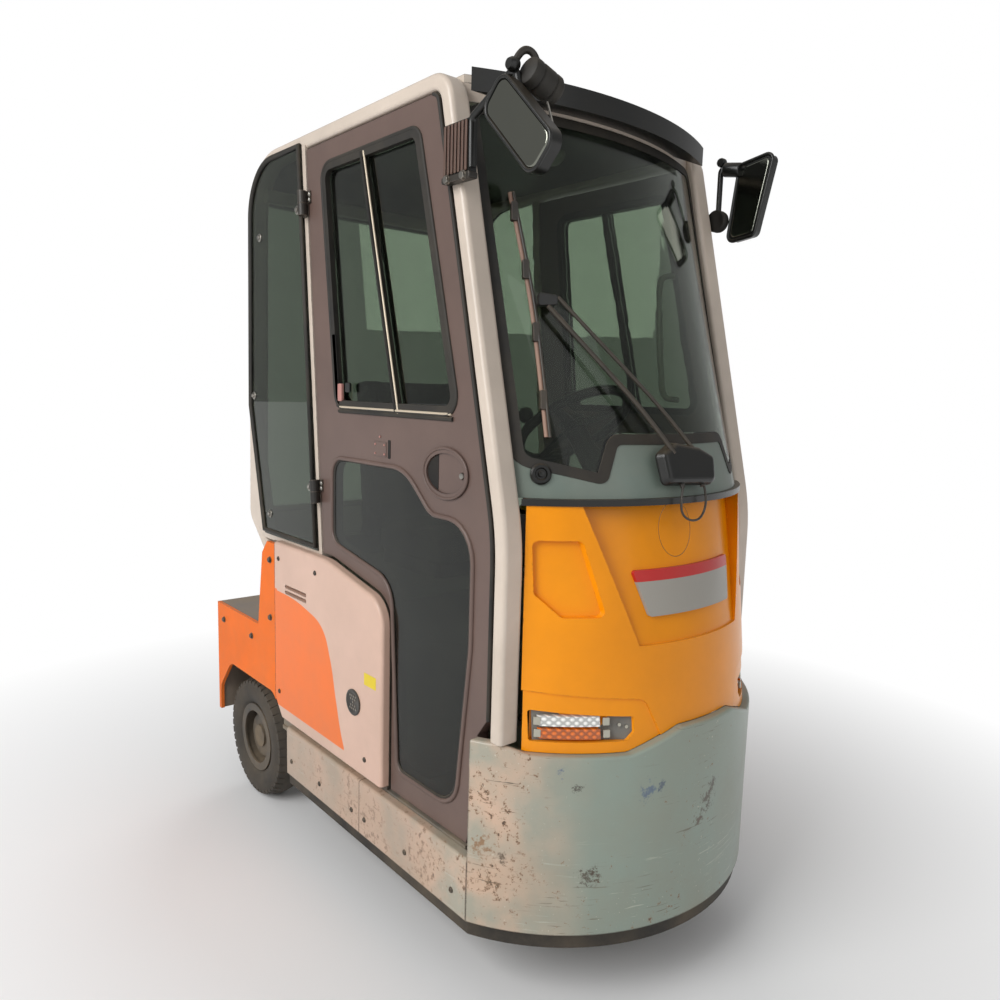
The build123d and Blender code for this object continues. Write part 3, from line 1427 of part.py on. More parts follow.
# Steered front wheel: fork with its head pin in the boss of the tub, and the axle bolt
with BuildPart() as steer_fork:
    fork_inner = TYRE_WIDTH / 2 + FORK_GAP
    with BuildSketch(Plane.XY.offset(FORK_CROWN_LOW)):
        with Locations((0, NOSE + STEER_DEPTH)):
            RectangleRounded(2 * (fork_inner + FORK_WALL), FORK_CROWN, FORK_WALL)
    extrude(amount=FORK_CROWN_TOP - FORK_CROWN_LOW)
    with BuildSketch(side(-fork_inner - FORK_WALL)):
        with BuildLine():
            Polyline(
                (STEER_DEPTH - FORK_WIDTH / 2, FORK_CROWN_TOP),
                (STEER_DEPTH + FORK_WIDTH / 2, FORK_CROWN_TOP),
                (STEER_DEPTH + FRONT_NUT + FORK_WALL, TYRE_RADIUS),
                (STEER_DEPTH - FRONT_NUT - FORK_WALL, TYRE_RADIUS),
                close=True,
            )
        make_face()
        with Locations((STEER_DEPTH, TYRE_RADIUS)):
            Circle(FRONT_NUT + FORK_WALL)
    extrude(amount=FORK_WALL)
    mirror(about=Plane.YZ)
    with BuildSketch(Plane.XY.offset(FORK_CROWN_TOP)):
        with Locations((0, NOSE + STEER_DEPTH)):
            Circle(STEER_PIN_RADIUS)
    extrude(amount=STEER_PIN_TOP - FORK_CROWN_TOP)
    with BuildSketch(Plane.XY.offset(STEER_PIN_TOP)):
        with Locations((0, NOSE + STEER_DEPTH)):
            Circle(STEER_CAP)
    extrude(amount=STEER_CAP_HEIGHT)
    with BuildSketch(side(-fork_inner - FORK_WALL - FRONT_NUT_HEIGHT)):
        with Locations((STEER_DEPTH, TYRE_RADIUS)):
            RegularPolygon(FRONT_NUT, 6)
    extrude(amount=FRONT_NUT_HEIGHT)
    mirror(about=Plane.YZ)
    with BuildSketch(side(-fork_inner)):
        with Locations((STEER_DEPTH, TYRE_RADIUS)):
            Circle(FRONT_AXLE_RADIUS)
    extrude(amount=2 * fork_inner)
finish(steer_fork, "steer_fork")


def wheel_plane(x, depth):
    """Plane through a wheel's axis: its first axis is X from the wheel's middle, its second the radius."""
    return Plane(origin=(x, NOSE + depth, TYRE_RADIUS), x_dir=(1, 0, 0), z_dir=(0, -1, 0))


def rim_section(hub_radius, hub_width, bore):
    """Half section of a rim with its hub, about the wheel's axis."""
    half = RIM_WIDTH / 2
    with BuildSketch() as section:
        with Locations((0, (bore + hub_radius) / 2)):
            Rectangle(hub_width, hub_radius - bore)
        with Locations((0, (hub_radius + RIM_RADIUS) / 2 - RIM_WALL / 2)):
            Rectangle(RIM_WEB, RIM_RADIUS - hub_radius)
        with Locations((0, RIM_RADIUS - RIM_WALL / 2)):
            Rectangle(RIM_WIDTH, RIM_WALL)
        with Locations((-half + RIM_WALL / 2, RIM_RADIUS), (half - RIM_WALL / 2, RIM_RADIUS)):
            Rectangle(RIM_WALL, 2 * RIM_FLANGE)
    return section.sketch


def tyre_section():
    """Half section of a tyre, about the wheel's axis, clear of the rim and its flanges."""
    bead = RIM_WIDTH / 2 - RIM_WALL - SEAT_GAP
    half = TYRE_WIDTH / 2
    seat = RIM_RADIUS + SEAT_GAP
    lip = seat + RIM_FLANGE
    heel = RIM_RADIUS + RIM_FLANGE + TYRE_BEAD
    with BuildSketch() as section:
        with BuildLine():
            Line((-bead, seat), (bead, seat))
            Line((bead, seat), (bead, lip))
            Line((bead, lip), (half - TYRE_CROWN, heel))
            Spline(
                (half - TYRE_CROWN, heel),
                (half, (RIM_RADIUS + TYRE_RADIUS) / 2 + TYRE_BEAD),
                (half - TYRE_CROWN, TYRE_RADIUS - TYRE_SHOULDER),
                tangents=((0.5, 1), (-0.5, 1)),
            )
            ThreePointArc(
                (half - TYRE_CROWN, TYRE_RADIUS - TYRE_SHOULDER),
                (0, TYRE_RADIUS),
                (-half + TYRE_CROWN, TYRE_RADIUS - TYRE_SHOULDER),
            )
            Spline(
                (-half + TYRE_CROWN, TYRE_RADIUS - TYRE_SHOULDER),
                (-half, (RIM_RADIUS + TYRE_RADIUS) / 2 + TYRE_BEAD),
                (-half + TYRE_CROWN, heel),
                tangents=((-0.5, -1), (0.5, -1)),
            )
            Line((-half + TYRE_CROWN, heel), (-bead, lip))
            Line((-bead, lip), (-bead, seat))
        make_face()
    return section.sketch


# Wheels: a pressed rim and a tyre each
REAR_WHEEL_X = WHEEL_OUTER_FACE - TYRE_WIDTH / 2
for x, depth, hub, hub_width, bore, name in (
    (0, STEER_DEPTH, FRONT_HUB, FRONT_HUB_WIDTH, FRONT_AXLE_RADIUS + FRONT_AXLE_PLAY, "front"),
    (-REAR_WHEEL_X, WHEEL_DEPTH, REAR_HUB, REAR_HUB_WIDTH, STUB_RADIUS + STUB_PLAY, "rear_right"),
    (REAR_WHEEL_X, WHEEL_DEPTH, REAR_HUB, REAR_HUB_WIDTH, STUB_RADIUS + STUB_PLAY, "rear_left"),
):
    axis = Axis((x, NOSE + depth, TYRE_RADIUS), (1, 0, 0))
    with BuildPart() as rim:
        with BuildSketch(wheel_plane(x, depth)):
            add(rim_section(hub, hub_width, bore))
        revolve(axis=axis)
    finish(rim, name + "_rim")
    with BuildPart() as tyre:
        with BuildSketch(wheel_plane(x, depth)):
            add(tyre_section())
        revolve(axis=axis)
    finish(tyre, name + "_tyre")

# Rear axle: tube, stubs, gearbox and drive motor
with BuildPart() as rear_axle:
    frame_outer = FRAME_HALF + SEAT_GAP
    with BuildSketch(side(-frame_outer)):
        with Locations((WHEEL_DEPTH, TYRE_RADIUS)):
            Circle(AXLE_RADIUS)
    extrude(amount=2 * frame_outer)
    with BuildSketch(side(-STUB_END)):
        with Locations((WHEEL_DEPTH, TYRE_RADIUS)):
            Circle(STUB_RADIUS)
    extrude(amount=2 * STUB_END)
    with BuildSketch(side(-GEARBOX_WIDTH / 2)):
        with Locations((WHEEL_DEPTH, TYRE_RADIUS)):
            Circle(GEARBOX_RADIUS)
    extrude(amount=GEARBOX_WIDTH)
    with BuildSketch(station(MOTOR_FRONT)):
        with Locations((0, MOTOR_LEVEL)):
            Circle(MOTOR_RADIUS)
    extrude(amount=MOTOR_FRONT - WHEEL_DEPTH)
finish(rear_axle, "rear_axle")

# Dashboard: a tray that follows the nose, on a pedestal over the wheel tub
with BuildPart() as dashboard:
    dash_rear = NOSE + DASH_REAR
    with BuildSketch(Plane.XY.offset(DASH_LOW)):
        with BuildLine():
            dash_end = bow_end(DASH_FRONT, DASH_RADIUS, DASH_HALF)
            dash_bow = ThreePointArc((-DASH_HALF, dash_end), (0, NOSE + DASH_FRONT), (DASH_HALF, dash_end))
            Polyline(dash_bow @ 1, (DASH_HALF, dash_rear), (-DASH_HALF, dash_rear), dash_bow @ 0)
        make_face()
    extrude(amount=DASH_TOP - DASH_LOW)
    with BuildSketch(Plane.XY.offset(DASH_TOP)):
        with BuildLine():
            tray_end = bow_end(DASH_FRONT + DASH_LIP, DASH_RADIUS - DASH_LIP, DASH_HALF - DASH_LIP)
            tray_bow = ThreePointArc(
                (-DASH_HALF + DASH_LIP, tray_end),
                (0, NOSE + DASH_FRONT + DASH_LIP),
                (DASH_HALF - DASH_LIP, tray_end),
            )
            Polyline(
                tray_bow @ 1,
                (DASH_HALF - DASH_LIP, dash_rear - DASH_LIP),
                (-DASH_HALF + DASH_LIP, dash_rear - DASH_LIP),
                tray_bow @ 0,
            )
        make_face()
    extrude(amount=-DASH_FLOOR, mode=Mode.SUBTRACT)
    with BuildSketch(Plane.XY.offset(TUB_TOP + SEAT_GAP)):
        with Locations((0, NOSE + (PEDESTAL_FRONT + PEDESTAL_REAR) / 2)):
            RectangleRounded(2 * PEDESTAL_HALF, PEDESTAL_REAR - PEDESTAL_FRONT, 2 * PEDESTAL_WALL)
            RectangleRounded(
                2 * (PEDESTAL_HALF - PEDESTAL_WALL),
                PEDESTAL_REAR - PEDESTAL_FRONT - 2 * PEDESTAL_WALL,
                PEDESTAL_WALL,
                mode=Mode.SUBTRACT,
            )
    extrude(amount=DASH_TOP - DASH_FLOOR - TUB_TOP)
finish(dashboard, "dashboard")

# Steering column and steering wheel, leaning back to the driver
STEER_AXIS = Plane(
    origin=(0, NOSE + WHEEL_CENTRE_DEPTH, WHEEL_CENTRE_HEIGHT),
    x_dir=(1, 0, 0),
    z_dir=(0, sin(radians(WHEEL_TILT)), cos(radians(WHEEL_TILT))),
)
with BuildPart() as steering_column:
    with BuildSketch(STEER_AXIS.offset(-WHEEL_HUB_HEIGHT / 2 - COLUMN_GAP)):
        Circle(COLUMN_RADIUS)
    extrude(amount=-COLUMN_LENGTH)
    split(bisect_by=Plane.XY.offset(DASH_TOP - DASH_FLOOR + SEAT_GAP), keep=Keep.TOP)
    with BuildSketch(STEER_AXIS.offset(-WHEEL_HUB_HEIGHT / 2 - COLUMN_GAP)):
        Circle(SHAFT_RADIUS)
    extrude(amount=SHAFT_LENGTH)
finish(steering_column, "steering_column")

with BuildPart() as steering_wheel:
    with BuildSketch(STEER_AXIS.offset(-WHEEL_HUB_HEIGHT / 2)):
        Circle(WHEEL_HUB_RADIUS)
    extrude(amount=WHEEL_HUB_HEIGHT)
    with BuildSketch(STEER_AXIS.offset(-SPOKE_WALL / 2)):
        with PolarLocations(WHEEL_RIM_RADIUS / 2, 3, start_angle=90):
            Rectangle(WHEEL_RIM_RADIUS, SPOKE_WIDTH)
    extrude(amount=SPOKE_WALL)
    with BuildLine(STEER_AXIS) as rim_path:
        CenterArc((0, 0), WHEEL_RIM_RADIUS, 0, 360)
    with BuildSketch(rim_path.line ^ 0):
        Circle(WHEEL_RIM_TUBE)
    sweep()
    with BuildSketch(STEER_AXIS.offset(-WHEEL_HUB_HEIGHT / 2)):
        Circle(SHAFT_RADIUS + SHAFT_PLAY)
    extrude(amount=SHAFT_LENGTH, mode=Mode.SUBTRACT)
finish(steering_wheel, "steering_wheel")

# Seat: base, cushion and back
with BuildPart() as seat_base:
    with BuildSketch(Plane.XY.offset(CONSOLE_TOP + SEAT_GAP)):
        with Locations((0, NOSE + (SEAT_BASE_FRONT + SEAT_BASE_REAR) / 2)):
            RectangleRounded(2 * SEAT_BASE_HALF, SEAT_BASE_REAR - SEAT_BASE_FRONT, CONSOLE_WALL)
    extrude(amount=SEAT_LOW - CONSOLE_TOP - 2 * SEAT_GAP)
finish(seat_base, "seat_base")

with BuildPart() as seat_cushion:
    with BuildSketch(Plane.XY.offset(SEAT_LOW)):
        with Locations((0, NOSE + (SEAT_FRONT + SEAT_REAR) / 2)):
            RectangleRounded(2 * SEAT_HALF, SEAT_REAR - SEAT_FRONT, 2 * SEAT_ROUND)
    extrude(amount=SEAT_TOP - SEAT_LOW)
    fillet(seat_cushion.faces().sort_by(Axis.Z)[-1].edges(), SEAT_ROUND)
finish(seat_cushion, "seat_cushion")

with BuildPart() as seat_back:
    with BuildSketch(side(-BACK_HALF)):
        with BuildLine():
            Polyline(
                (BACK_FRONT, SEAT_LOW),
                (BACK_FRONT, BACK_BEND),
                (BACK_FRONT + BACK_LEAN, BACK_TOP),
                (BACK_FRONT + BACK_LEAN + BACK_WALL, BACK_TOP),
                (BACK_FRONT + BACK_WALL, SEAT_LOW),
                close=True,
            )
        make_face()
    extrude(amount=2 * BACK_HALF)
    fillet(seat_back.faces().sort_by(Axis.Z)[-1].edges(), SEAT_ROUND)
finish(seat_back, "seat_back")

# Tow coupling: two jaw plates on a back plate
with BuildPart() as tow_coupling:
    jaw_front = TAIL_DEPTH + SEAT_GAP
    with BuildSketch(Plane.XY.offset(JAW_LEVEL - JAW_GAP / 2 - JAW_PLATE)):
        with Locations((0, NOSE + jaw_front)):
            Rectangle(2 * JAW_HALF, LENGTH - jaw_front, align=(Align.CENTER, Align.MIN))
    extrude(amount=JAW_GAP + 2 * JAW_PLATE)
    fillet(
        tow_coupling.edges().filter_by(Axis.Z).sort_by(Axis.Y)[-2:],
        JAW_ROUND,
    )
    with BuildSketch(Plane.XY.offset(JAW_LEVEL - JAW_GAP / 2)):
        with Locations((0, NOSE + jaw_front + JAW_BACK)):
            Rectangle(2 * JAW_HALF, LENGTH, align=(Align.CENTER, Align.MIN))
    extrude(amount=JAW_GAP, mode=Mode.SUBTRACT)
    with BuildSketch(Plane.XY):
        with Locations((0, -NOSE - JAW_PIN_SETBACK)):
            Circle(PIN_RADIUS + PIN_PLAY)
    extrude(amount=LENGTH, mode=Mode.SUBTRACT)
finish(tow_coupling, "tow_coupling")

with BuildPart() as coupling_pin:
    pin_low = JAW_LEVEL - JAW_GAP / 2 - JAW_PLATE - PIN_FOOT
    pin_high = JAW_LEVEL + JAW_GAP / 2 + JAW_PLATE + PIN_NECK
    with BuildSketch(Plane.XY.offset(pin_low)):
        with Locations((0, -NOSE - JAW_PIN_SETBACK)):
            Circle(PIN_RADIUS)
    extrude(amount=pin_high - pin_low)
    chamfer(coupling_pin.faces().sort_by(Axis.Z)[0].edges(), PIN_RADIUS / 2)
    with BuildSketch(Plane.XY.offset(pin_high + PIN_RING)):
        with Locations((PIN_RING, -NOSE - JAW_PIN_SETBACK)):
            Circle(PIN_RING_TUBE)
    revolve(axis=Axis((0, -NOSE - JAW_PIN_SETBACK, pin_high + PIN_RING), (0, 1, 0)))
finish(coupling_pin, "coupling_pin")

# Rear lamps on the tail plate
with BuildPart() as rear_lamps:
    with BuildSketch(station(TAIL_DEPTH + SEAT_GAP)):
        with Locations((REAR_LAMP_OUTER - REAR_LAMP_WIDTH / 2, REAR_LAMP_LOW + REAR_LAMP_HEIGHT / 2)):
            RectangleRounded(REAR_LAMP_WIDTH, REAR_LAMP_HEIGHT, REAR_LAMP_CORNER)
        mirror(about=Plane.YZ)
    extrude(amount=-REAR_LAMP_WALL)
finish(rear_lamps, "rear_lamps")

# Mirrors: the right one on a clamp and a bent tube, the left one on a round boot and an upright tube
with BuildPart() as mirrors:
    clamp_x = -CAB_HALF_WIDTH - SEAT_GAP - CLAMP_WALL
    with BuildSketch(side(clamp_x)):
        with BuildLine():
            Polyline(
                (CLAMP_FRONT, CLAMP_HIGH),
                (CLAMP_REAR, CLAMP_HIGH),
                (CLAMP_REAR, CLAMP_LOW),
                (CLAMP_FRONT, CLAMP_LOW),
                close=True,
            )
        make_face()
    extrude(amount=CLAMP_WALL)
    with BuildLine(side(clamp_x + MIRROR_TUBE)) as arm_path:
        FilletPolyline(
            (CLAMP_FRONT, CLAMP_LOW + MIRROR_TUBE),
            (MIRROR_ARM_KNEE, CLAMP_HIGH),
            (MIRROR_ARM_FRONT, MIRROR_ARM_TOP),
            (MIRROR_HEAD_DEPTH, MIRROR_HEAD_HEIGHT),
            radius=2 * MIRROR_TUBE,
        )
    with BuildSketch(arm_path.line ^ 0):
        Circle(MIRROR_TUBE)
    sweep()
    with BuildSketch(side(clamp_x + MIRROR_TUBE)):
        with Locations(Location((MIRROR_HEAD_DEPTH, MIRROR_HEAD_HEIGHT, 0), MIRROR_HEAD_TILT)):
            RectangleRounded(MIRROR_HEAD_WIDTH, MIRROR_HEAD_LENGTH, MIRROR_HEAD_ROUND)
    extrude(amount=-MIRROR_HEAD_WALL)
    left_x = CAB_HALF_WIDTH + SEAT_GAP
    with BuildSketch(side(left_x)):
        with Locations((BOOT_DEPTH, BOOT_HEIGHT)):
            Circle(BOOT_RADIUS)
    extrude(amount=BOOT_LENGTH)
    head_x = left_x + CLAMP_WALL - MIRROR_TUBE
    with BuildLine(side(head_x)) as upright_path:
        FilletPolyline(
            (BOOT_DEPTH, LEFT_TUBE_LOW),
            (BOOT_DEPTH, LEFT_TUBE_TOP),
            (LEFT_TUBE_END_DEPTH, LEFT_TUBE_END_HEIGHT),
            radius=2 * MIRROR_TUBE,
        )
    with BuildSketch(upright_path.line ^ 0):
        Circle(MIRROR_TUBE)
    sweep()
    with BuildSketch(side(head_x)):
        with BuildLine():
            FilletPolyline(
                (LEFT_HEAD_REAR, LEFT_HEAD_SHOULDER),
                (LEFT_HEAD_FRONT, LEFT_HEAD_TOP),
                (LEFT_HEAD_LOW_FRONT, LEFT_HEAD_LOW),
                (LEFT_HEAD_LOW_REAR, LEFT_HEAD_HEEL),
                close=True,
                radius=LEFT_HEAD_ROUND,
            )
        make_face()
    extrude(amount=MIRROR_HEAD_WALL)
finish(mirrors, "mirrors")
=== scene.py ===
import math

import bpy
from mathutils import Matrix, Vector


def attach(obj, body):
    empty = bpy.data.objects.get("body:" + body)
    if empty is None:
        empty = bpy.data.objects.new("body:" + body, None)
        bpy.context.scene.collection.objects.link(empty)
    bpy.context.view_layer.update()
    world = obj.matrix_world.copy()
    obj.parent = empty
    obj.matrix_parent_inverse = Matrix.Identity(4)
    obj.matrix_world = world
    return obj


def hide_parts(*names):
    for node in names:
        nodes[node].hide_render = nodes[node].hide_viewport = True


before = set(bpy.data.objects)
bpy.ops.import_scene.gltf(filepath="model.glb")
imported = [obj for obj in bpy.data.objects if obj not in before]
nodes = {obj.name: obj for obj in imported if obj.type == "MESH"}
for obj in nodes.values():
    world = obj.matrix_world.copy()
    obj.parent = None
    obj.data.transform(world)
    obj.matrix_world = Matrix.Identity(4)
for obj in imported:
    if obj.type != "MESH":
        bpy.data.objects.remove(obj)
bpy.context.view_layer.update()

# Camera
# It stands ahead of the right-hand front corner at eye height and looks down a little,
# with the focal length, the place and the small roll that fit the photograph.
NOSE_Y = -0.95
CAMERA_PLACE = (-1.592, -2.019, 1.451)
YAW = math.radians(-40.411)
PITCH = math.radians(7.727)
ROLL = math.radians(1.611)
SENSOR = 36.0
FOCAL_LENGTH = 29.204
CLIP_START = 0.02
forward = Vector((math.sin(-YAW) * math.cos(PITCH), math.cos(-YAW) * math.cos(PITCH), -math.sin(PITCH)))
level_right = forward.cross(Vector((0, 0, 1))).normalized()
level_up = level_right.cross(forward)
right = math.cos(ROLL) * level_right + math.sin(ROLL) * level_up
up = -math.sin(ROLL) * level_right + math.cos(ROLL) * level_up
camera_data = bpy.data.cameras.new("photo_camera")
camera_data.sensor_width = SENSOR
camera_data.lens = FOCAL_LENGTH
camera_data.clip_start = CLIP_START
camera = bpy.data.objects.new("photo_camera", camera_data)
camera.matrix_world = Matrix(
    (
        (right.x, up.x, -forward.x, CAMERA_PLACE[0]),
        (right.y, up.y, -forward.y, CAMERA_PLACE[1]),
        (right.z, up.z, -forward.z, CAMERA_PLACE[2]),
        (0, 0, 0, 1),
    )
)
bpy.context.collection.objects.link(camera)
bpy.context.scene.camera = camera


# Studio
# A pale plain floor under white surroundings, three large soft lamps and an even sky.
# The pieces of the studio aren't part of the vehicle.
def srgb(red, green, blue, times=1.0):
    """Linear colour of a display colour written from 0 to 255, made darker or lighter by a factor."""
    shares = (v / 255 for v in (red, green, blue))
    linear = (v / 12.92 if v <= 0.04045 else ((v + 0.055) / 1.055) ** 2.4 for v in shares)
    return tuple(min(1.0, times * v) for v in linear) + (1.0,)


def shaded(name):
    """A new material, its node tree and its main shader."""
    made = bpy.data.materials.new(name)
    made.use_nodes = True
    return made, made.node_tree, made.node_tree.nodes["Principled BSDF"]


def feed(made, inputs):
    """Gives a node its inputs, each a value or an output socket to link."""
    for key, value in inputs.items():
        if isinstance(value, bpy.types.NodeSocket):
            made.id_data.links.new(value, made.inputs[key])
        else:
            made.inputs[key].default_value = value


def node(tree, kind, inputs=None, **settings):
    """Adds a shader node with its settings and inputs."""
    made = tree.nodes.new("ShaderNode" + kind)
    for key, value in settings.items():
        setattr(made, key, value)
    feed(made, inputs or {})
    return made


def join(first, second, operation):
    """Combines two values, of which one at least is an output socket."""
    tree = (first if isinstance(first, bpy.types.NodeSocket) else second).id_data
    return node(tree, "Math", {0: first, 1: second}, operation=operation).outputs[0]


def ramp(value, low, high, to_low=0.0, to_high=1.0):
    """Maps the range from low to high of a socket's value onto another range, clamped."""
    inputs = {"Value": value, "From Min": low, "From Max": high, "To Min": to_low, "To Max": to_high}
    return node(value.id_data, "MapRange", inputs).outputs[0]


def own_place(tree):
    """The place of the shaded point in the vehicle's frame, in metres."""
    return node(tree, "TexCoord").outputs["Object"]


def mesh_object(name, verts, faces, smooth=False):
    """Links a mesh made of vertices and faces."""
    mesh = bpy.data.meshes.new(name)
    mesh.from_pydata(verts, [], faces)
    mesh.validate()
    made = bpy.data.objects.new(name, mesh)
    bpy.context.collection.objects.link(made)
    for polygon in mesh.polygons:
        polygon.use_smooth = smooth
    return made


WHITE = (1.0, 1.0, 1.0, 1.0)
SKY_STRENGTH = 0.40
world = bpy.data.worlds.new("studio")
bpy.context.scene.world = world
world.use_nodes = True
tree = world.node_tree
tree.nodes.clear()
path = node(tree, "LightPath").outputs
seen = join(path["Is Camera Ray"], path["Is Transmission Ray"], "MAXIMUM")
sky = node(tree, "Background", {"Color": WHITE, "Strength": SKY_STRENGTH})
white = node(tree, "Background", {"Color": WHITE, "Strength": 1.0})
mixed = node(tree, "MixShader", {0: seen, 1: sky.outputs[0], 2: white.outputs[0]})
node(tree, "OutputWorld", {"Surface": mixed.outputs[0]})

FLOOR_HALF = 60.0
FADE_START, FADE_END = 0.9, 2.6
CORNERS = ((-1, -1), (1, -1), (1, 1), (-1, 1))
floor = mesh_object("studio_floor", [(x * FLOOR_HALF, y * FLOOR_HALF, 0) for x, y in CORNERS], [(0, 1, 2, 3)])
floor_paint, tree, shader = shaded("studio_floor")
feed(shader, {"Base Color": (0.84, 0.84, 0.84, 1.0), "Roughness": 0.9})
# Away from the vehicle the floor fades to the white of the surroundings
away = node(tree, "VectorMath", {0: own_place(tree)}, operation="LENGTH").outputs["Value"]
path = node(tree, "LightPath").outputs
seen = path["Is Camera Ray"]
for ray in ("Is Glossy Ray", "Is Transmission Ray"):
    seen = join(seen, path[ray], "MAXIMUM")
share = join(seen, ramp(away, FADE_START, FADE_END), "MULTIPLY")
white = node(tree, "Emission", {"Strength": 1.0})
mixed = node(tree, "MixShader", {0: share, 1: shader.outputs[0], 2: white.outputs[0]})
feed(tree.nodes["Material Output"], {"Surface": mixed.outputs[0]})
floor.data.materials.append(floor_paint)
for name, place, aim, size, power in (
    ("key_lamp", (-4.6, -0.6, 3.6), (0, 0, 1.0), 3.2, 200.0),
    ("front_lamp", (-0.4, -5.2, 3.0), (0, -0.4, 0.9), 3.0, 22.0),
    ("back_lamp", (3.6, 4.0, 3.4), (0, 0, 1.0), 3.0, 60.0),
):
    lamp = bpy.data.lights.new(name, "AREA")
    lamp.size = size
    lamp.energy = power
    lamp_object = bpy.data.objects.new(name, lamp)
    lamp_object.location = place
    lamp_object.rotation_euler = (Vector(aim) - Vector(place)).to_track_quat("-Z", "Y").to_euler()
    bpy.context.collection.objects.link(lamp_object)
bpy.context.scene.view_settings.view_transform = "Standard"


# Cab frame and roof
# Rounded steel tubes and a pressed roof skin, painted light grey. The paint is thin and
# dusty, and it is rubbed through to a dark primer along the edges.
def group(name, inputs, output, kind="NodeSocketFloat"):
    """Starts a shader group of number inputs and one output; returns its tree, its inputs and its end."""
    made = bpy.data.node_groups.new(name, "ShaderNodeTree")
    for label in inputs:
        made.interface.new_socket(name=label, in_out="INPUT", socket_type="NodeSocketFloat")
    made.interface.new_socket(name=output, in_out="OUTPUT", socket_type=kind)
    return made, made.nodes.new("NodeGroupInput").outputs, made.nodes.new("NodeGroupOutput")


def noise(place, scale, detail=2.0, roughness=0.5):
    """Value of a noise texture at a place."""
    inputs = {"Vector": place, "Scale": scale, "Detail": detail, "Roughness": roughness}
    return node(place.id_data, "TexNoise", inputs).outputs["Fac"]


def split(vector):
    """The X, Y and Z of a vector."""
    return node(vector.id_data, "SeparateXYZ", {0: vector}).outputs


# Edge wear: where a rounded normal leaves the true one, broken up by noise
wear, given, end = group("edge_wear", ("Radius", "Amount", "Scale"), "Mask")
rounded = node(wear, "Bevel", {"Radius": given["Radius"]}, samples=4).outputs[0]
true_normal = node(wear, "NewGeometry").outputs["Normal"]
agree = node(wear, "VectorMath", {0: rounded, 1: true_normal}, operation="DOT_PRODUCT").outputs["Value"]
chips = noise(own_place(wear), given["Scale"], 6.0, 0.7)
spread = join(join(ramp(agree, 0.995, 0.80), chips, "MULTIPLY"), given["Amount"], "MULTIPLY")
feed(end, {"Mask": ramp(spread, 0.34, 0.52)})

# Dust: thicker low down and on upward faces, in soft patches
dust, given, end = group("dust", ("Low", "High"), "Mask")
place = own_place(dust)
low = ramp(split(place)["Z"], 1.1, 0.15, given["High"], given["Low"])
upward = split(node(dust, "NewGeometry").outputs["Normal"])["Z"]
both = join(low, ramp(upward, 0.3, 1.0, 0.0, 0.35), "ADD")
cloud = ramp(noise(place, 7.0, 8.0, 0.62), 0.3, 0.75)
dusty = node(dust, "Math", {0: both, 1: cloud}, operation="MULTIPLY", use_clamp=True)
feed(end, {"Mask": dusty.outputs[0]})

# Grain: a fine bump for paint, plastic and rubber
grain, given, end = group("grain", ("Scale", "Depth"), "Normal", "NodeSocketVector")
fine = noise(own_place(grain), given["Scale"], 3.0)
relief = node(grain, "Bump", {"Height": fine, "Strength": given["Depth"], "Distance": 0.002})
feed(end, {"Normal": relief.outputs[0]})


def blend(mask, first, second):
    """Mixes two colours, each a value or a socket, by a mask socket."""
    return node(mask.id_data, "Mix", {0: mask, 6: first, 7: second}, data_type="RGBA").outputs[2]


WEAR_SCALE = 38.0


def surface(
    name, colour, roughness=0.5, metallic=0.0, coat=0.0, vary=0.14, worn=None, wear_amount=1.0, wear_radius=0.004,
    low_dust=0.5, high_dust=0.12, dust_colour=(150, 132, 108), grain_scale=300.0, grain_depth=0.08,
    paint_colour=None, specular=0.5,
):
    """A finish with varied colour, worn edges, dust and fine grain; paint_colour(tree, colour) may change it."""
    made, tree, shader = shaded(name)
    shade = ramp(noise(own_place(tree), 2.6, 7.0, 0.6), 0.3, 0.7)
    base = blend(shade, srgb(*colour, 1 - vary), srgb(*colour, 1 + vary))
    if paint_colour:
        base = paint_colour(tree, base)
    if worn:
        sizes = {"Radius": wear_radius, "Amount": wear_amount, "Scale": WEAR_SCALE}
        edges = node(tree, "Group", sizes, node_tree=wear).outputs["Mask"]
        base = blend(edges, base, srgb(*worn))
    film = node(tree, "Group", {"Low": low_dust, "High": high_dust}, node_tree=dust).outputs["Mask"]
    skin = node(tree, "Group", {"Scale": grain_scale, "Depth": grain_depth}, node_tree=grain)
    feed(shader, {
        "Base Color": blend(film, base, srgb(*dust_colour)),
        "Normal": skin.outputs["Normal"],
        "Roughness": ramp(film, 0.0, 1.0, roughness, min(1.0, roughness + 0.35)),
        "Metallic": metallic,
        "Coat Weight": coat,
        "Coat Roughness": 0.12,
        "Specular IOR Level": specular,
    })
    return made


def finish(material, *names):
    """Gives a material to CAD nodes."""
    for name in names:
        mesh = nodes[name].data
        mesh.materials.clear()
        mesh.materials.append(material)


def painted_shade_underneath(tree, base):
    """Paints the faces that look down nearly black, as painted shade under the roof."""
    down = split(node(tree, "NewGeometry").outputs["Normal"])["Z"]
    return blend(ramp(down, -0.3, -0.1), srgb(36, 38, 36), base)


frame_pale = surface(
    "pale_frame_paint", (206, 192, 178), 0.36, coat=0.2, worn=(92, 84, 76), wear_amount=0.95, high_dust=0.10
)
# Painted shade: the roof's faces that look down are painted nearly black.
roof_paint = surface(
    "roof_paint", (204, 192, 178), 0.4, coat=0.2, worn=(92, 84, 76), high_dust=0.25, paint_colour=painted_shade_underneath
)
finish(frame_pale, "cab_frame")
finish(roof_paint, "roof")


# Front apron, its blank plate and the rear fenders
# One moulded shell in glossy orange paint over the nose, with a scoop, side pockets and
# lamp niches. The plate has a red band over plain silver grey, and it is blank.
def metres(x, depth, height):
    """A point from millimetres across, behind the nose and up."""
    return Vector((x / 1000, NOSE_Y + depth / 1000, height / 1000))


FENDER_ORANGE = (240, 110, 2)
BAND_LEVEL = 1.024


